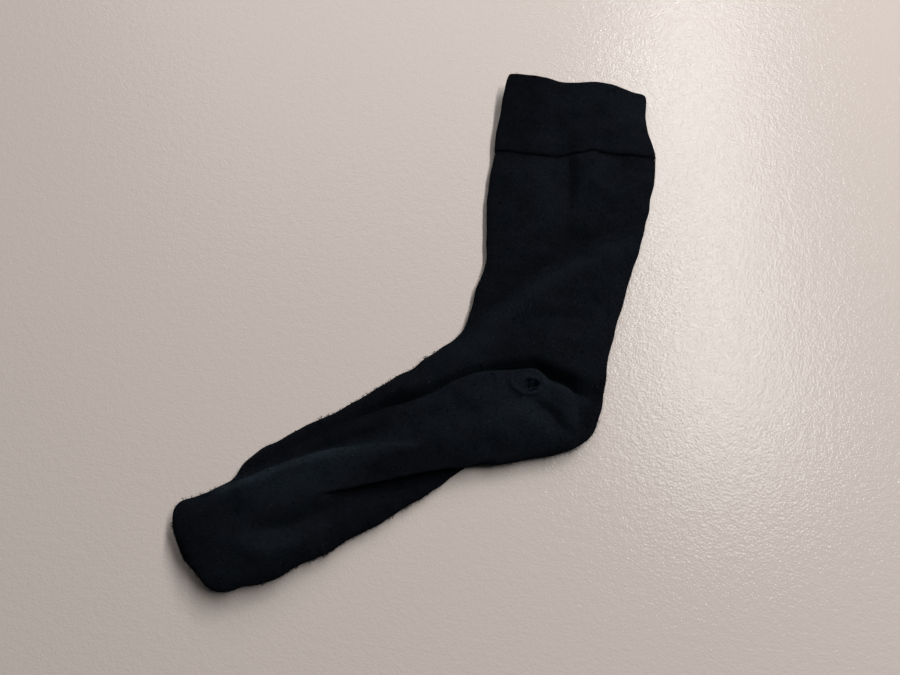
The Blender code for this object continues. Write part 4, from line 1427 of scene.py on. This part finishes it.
tree = scatter_tree()
extras = {}
for shell in (welt_shell, knit_shell):
    points = points_of(shell.data)
    low, high = OFF_TABLE
    is_outer = read_values(shell.data.attributes["outer"].data, "value", 1)[:, 0].astype(float)
    shown = is_outer * smoothstep((points[:, 2] - low) / (high - low))
    extras[shell.name] = []
    for seed, kind in enumerate(KINDS, FIRST_SEED):
        lies = np.full(len(points), kind.everywhere)
        for stroke in kind.more:
            side = nearest_on(line_of(stroke.path), points[:, 0:2])[0]
            lies += stroke.amount * np.exp(-(side / stroke.spread) ** 2)
        add_values(shell.data, kind.name, shown * lies)
        extras[shell.name].append(run_tree(
            tree, shell.data, shell.name.split("_")[0] + "_" + kind.name, Shapes=kind.shapes,
            Density=kind.density, Map=kind.name, Smallest=kind.smallest * MM,
            Largest=kind.largest * MM, Tilt=kind.tilt, Seed=seed, Material=kind.material))

# %% [markdown]
# ## The join's stitches
#
# The welt was knitted first and linked to the leg by one loop to each wale. These loops lie in
# the groove between the two. A second tree sets an arch on every point of a line that follows
# the groove: the line's points carry two directions, one along the groove and one out of the
# cloth, and the tree turns each arch to both.

# %% Stitch tree
def stitch_tree():
    """A tree that sets one shape on each point, turned to the point's two directions."""
    tree, given = new_tree("stitches on a line", Line="Geometry", Stitch="Object",
                           Material="Material")
    along, out = [add_node(tree, "GeometryNodeInputNamedAttribute", {"Name": name},
                           data_type="FLOAT_VECTOR") for name in ("along", "out")]
    first = add_node(tree, "FunctionNodeAlignRotationToVector", {"Vector": out}, axis="Z")
    both = add_node(tree, "FunctionNodeAlignRotationToVector", {"Rotation": first, "Vector": along},
                    axis="Y", pivot_axis="Z")
    shape = add_node(tree, "GeometryNodeObjectInfo", {"Object": given["Stitch"]})
    placed = add_node(tree, "GeometryNodeInstanceOnPoints", {
        "Points": given["Line"], "Instance": shape.outputs["Geometry"], "Rotation": both})
    return end_tree(tree, placed, given["Material"])


# %% Threads along paths
WELD = 0.004                         # points nearer than this are one, in millimetres


def resampled(line, step):
    """Points on a polyline, a step apart."""
    gone = np.concatenate([[0.0], np.cumsum(np.linalg.norm(np.diff(line, axis=0), axis=1))])
    marks = np.arange(step / 2, gone[-1], step)
    return np.stack([np.interp(marks, gone, line[:, k]) for k in range(3)], axis=-1)


def threads_object(name, paths, radius, material):
    """Round threads along paths, as one mesh object. Paths are in millimetres."""
    curve = bpy.data.curves.new(name, "CURVE")
    curve.dimensions = "3D"
    curve.bevel_depth = radius * MM
    curve.bevel_resolution = 1
    curve.use_fill_caps = True
    for path in paths:
        spline = curve.splines.new("POLY")
        spline.points.add(len(path) - 1)
        for point, (x, y, z) in zip(spline.points, path):
            point.co = (x * MM, y * MM, z * MM, 1.0)
    mesh = mesh_from(put_in_scene("carrier", curve))
    welded = bmesh.new()
    welded.from_mesh(mesh)
    bmesh.ops.remove_doubles(welded, verts=welded.verts, dist=WELD * MM)
    welded.to_mesh(mesh)
    welded.free()
    mesh.name = name
    mesh.materials.clear()
    mesh.materials.append(material)
    return add_object(mesh)


# %% Join stitches
STITCH_PITCH = 1.25
STITCH_SPAN = 1.5
STITCH_THICKNESS = 0.30
STITCH_SINK = 0.35

groove = resampled(groove_line - np.array((*TABLE_CENTRE, STITCH_SINK)), STITCH_PITCH)
along = np.gradient(groove, axis=0)
along /= np.linalg.norm(along, axis=1)[:, None]
out = np.cross(along, groove_ahead / np.linalg.norm(groove_ahead))
out *= np.sign(out[:, 2:3])
line_mesh = bpy.data.meshes.new("groove_line")
line_mesh.from_pydata((groove * MM).tolist(), [], [])
add_values(line_mesh, "along", along, "FLOAT_VECTOR", "vector")
add_values(line_mesh, "out", out, "FLOAT_VECTOR", "vector")
arch = [(STITCH_SPAN / 2 * math.cos(a), 0.25 * math.cos(a), 0.5 * math.sin(a) - 0.2)
        for a in np.linspace(0.0, math.pi, 7)]
arch_object = threads_object("arch", [arch], STITCH_THICKNESS / 2, loose_cotton)
join_stitches = run_tree(stitch_tree(), line_mesh, "join_stitches", Stitch=arch_object,
                         Material=loose_cotton)
bpy.data.objects.remove(arch_object)

# %% [markdown]
# ## Yarns in the hole
#
# A hole in knitting is rarely empty. Some yarns still cross it, slack, where the loops beside
# them have run, and others have broken and curl at the edge. The hole's edge was kept when it
# was cut, so each crossing yarn can start and end on it.

# %% Points on the hole's rim
rim_angles = np.array([math.atan2(y - HOLE_PLACE[1], x - HOLE_PLACE[0]) for x, y, _ in hole_rim])
order = np.argsort(rim_angles)
rim_angles, hole_rim = rim_angles[order], hole_rim[order]


def rim_point(angle):
    """The point on the hole's rim at an angle."""
    angle = (angle + math.pi) % (2 * math.pi) - math.pi
    return np.array([np.interp(angle, rim_angles, hole_rim[:, k], period=2 * math.pi)
                     for k in range(3)])


def hanging_yarn(start, end, sag, wobble):
    """A slack yarn between two points."""
    path = []
    for share in np.linspace(0.0, 1.0, 9):
        point = start + (end - start) * share
        point[2] -= sag * math.sin(math.pi * share)
        point[0] += wobble * math.sin(2 * math.pi * share)
        path.append(point)
    return path


# %% Hole yarns
YARN_RADIUS = 0.15
CROSSING_FROM = 0.95                 # how far out the first crossing yarn lies, 1 being the edge
CROSSING_REACH = 0.64                # share of the hole's width that yarns still cross
CROSSING_COUNT = 17
SLACK_YARNS = ((2.4, -2.3), (2.9, -1.9), (1.9, -2.9), (2.2, -0.9), (-2.6, 1.3))   # end angles
BROKEN_COUNT = 22
FLUFF_COUNT = 26
FLUFF_REACH = 1.9
yarn_draws = np.random.default_rng(23)

yarns = []
for k in range(CROSSING_COUNT):
    across_hole = -CROSSING_FROM + 2 * CROSSING_REACH * CROSSING_FROM * k / (CROSSING_COUNT - 1)
    half_angle = math.acos(across_hole)
    top = rim_point(half_angle + yarn_draws.uniform(-0.08, 0.08))
    bottom = rim_point(-half_angle + yarn_draws.uniform(-0.08, 0.08))
    yarns.append(hanging_yarn(top, bottom, yarn_draws.uniform(0.1, 0.8),
                              yarn_draws.uniform(-0.3, 0.3)))
for start, end in SLACK_YARNS:
    yarns.append(hanging_yarn(rim_point(start), rim_point(end), 0.7, 0.4))
for _ in range(BROKEN_COUNT):
    angle = yarn_draws.uniform(-1.8, 2.4)
    inward = np.array((-math.cos(angle), -math.sin(angle), 0.0))
    sideways = np.array((-inward[1], inward[0], 0.0)) * yarn_draws.choice((-1.0, 1.0))
    reach = yarn_draws.uniform(0.6, 1.9)
    path = []
    for share in np.linspace(0.0, 1.0, 7):
        curl = reach * (inward * share + sideways * 0.6 * share ** 2)
        path.append(rim_point(angle) - 0.3 * inward + curl
                    + np.array((0, 0, 0.5 * math.sin(3 * share))))
    yarns.append(path)
middle = hole_rim.mean(axis=0)
for _ in range(FLUFF_COUNT):
    angle = yarn_draws.uniform(0.0, 2 * math.pi)
    along = np.array((math.cos(angle), math.sin(angle), 0.0))
    beside = np.array((-along[1], along[0], 0.0))
    centre = middle + np.array((*yarn_draws.uniform(-2.2, 2.2, 2), -yarn_draws.uniform(1.0, 1.9)))
    bow = yarn_draws.uniform(-1.0, 1.0)
    yarns.append([centre + FLUFF_REACH * share * along + bow * (1 - share ** 2) * beside
                  for share in np.linspace(-1.0, 1.0, 7)])
yarns = [[point - np.array((*TABLE_CENTRE, 0.0)) for point in path] for path in yarns]
hole_yarns = threads_object("hole_yarns", yarns, YARN_RADIUS, pilled_cotton)
print(len(yarns), "yarns in the hole")

# %% [markdown]
# ## Handing the pieces to the frame
#
# Every piece rides on the one body. The two shells stand in for the two CAD nodes, which are hidden.

# %% Finish
for shell, node, slot in ((welt_shell, "cuff_welt", "welt_knit"),
                          (knit_shell, "leg_and_foot", "brushed_knit")):
    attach(shell, "root")
    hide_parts(node)
    for piece in extras[shell.name]:
        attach(piece, "root")
for piece in (join_stitches, hole_yarns):
    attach(piece, "root")
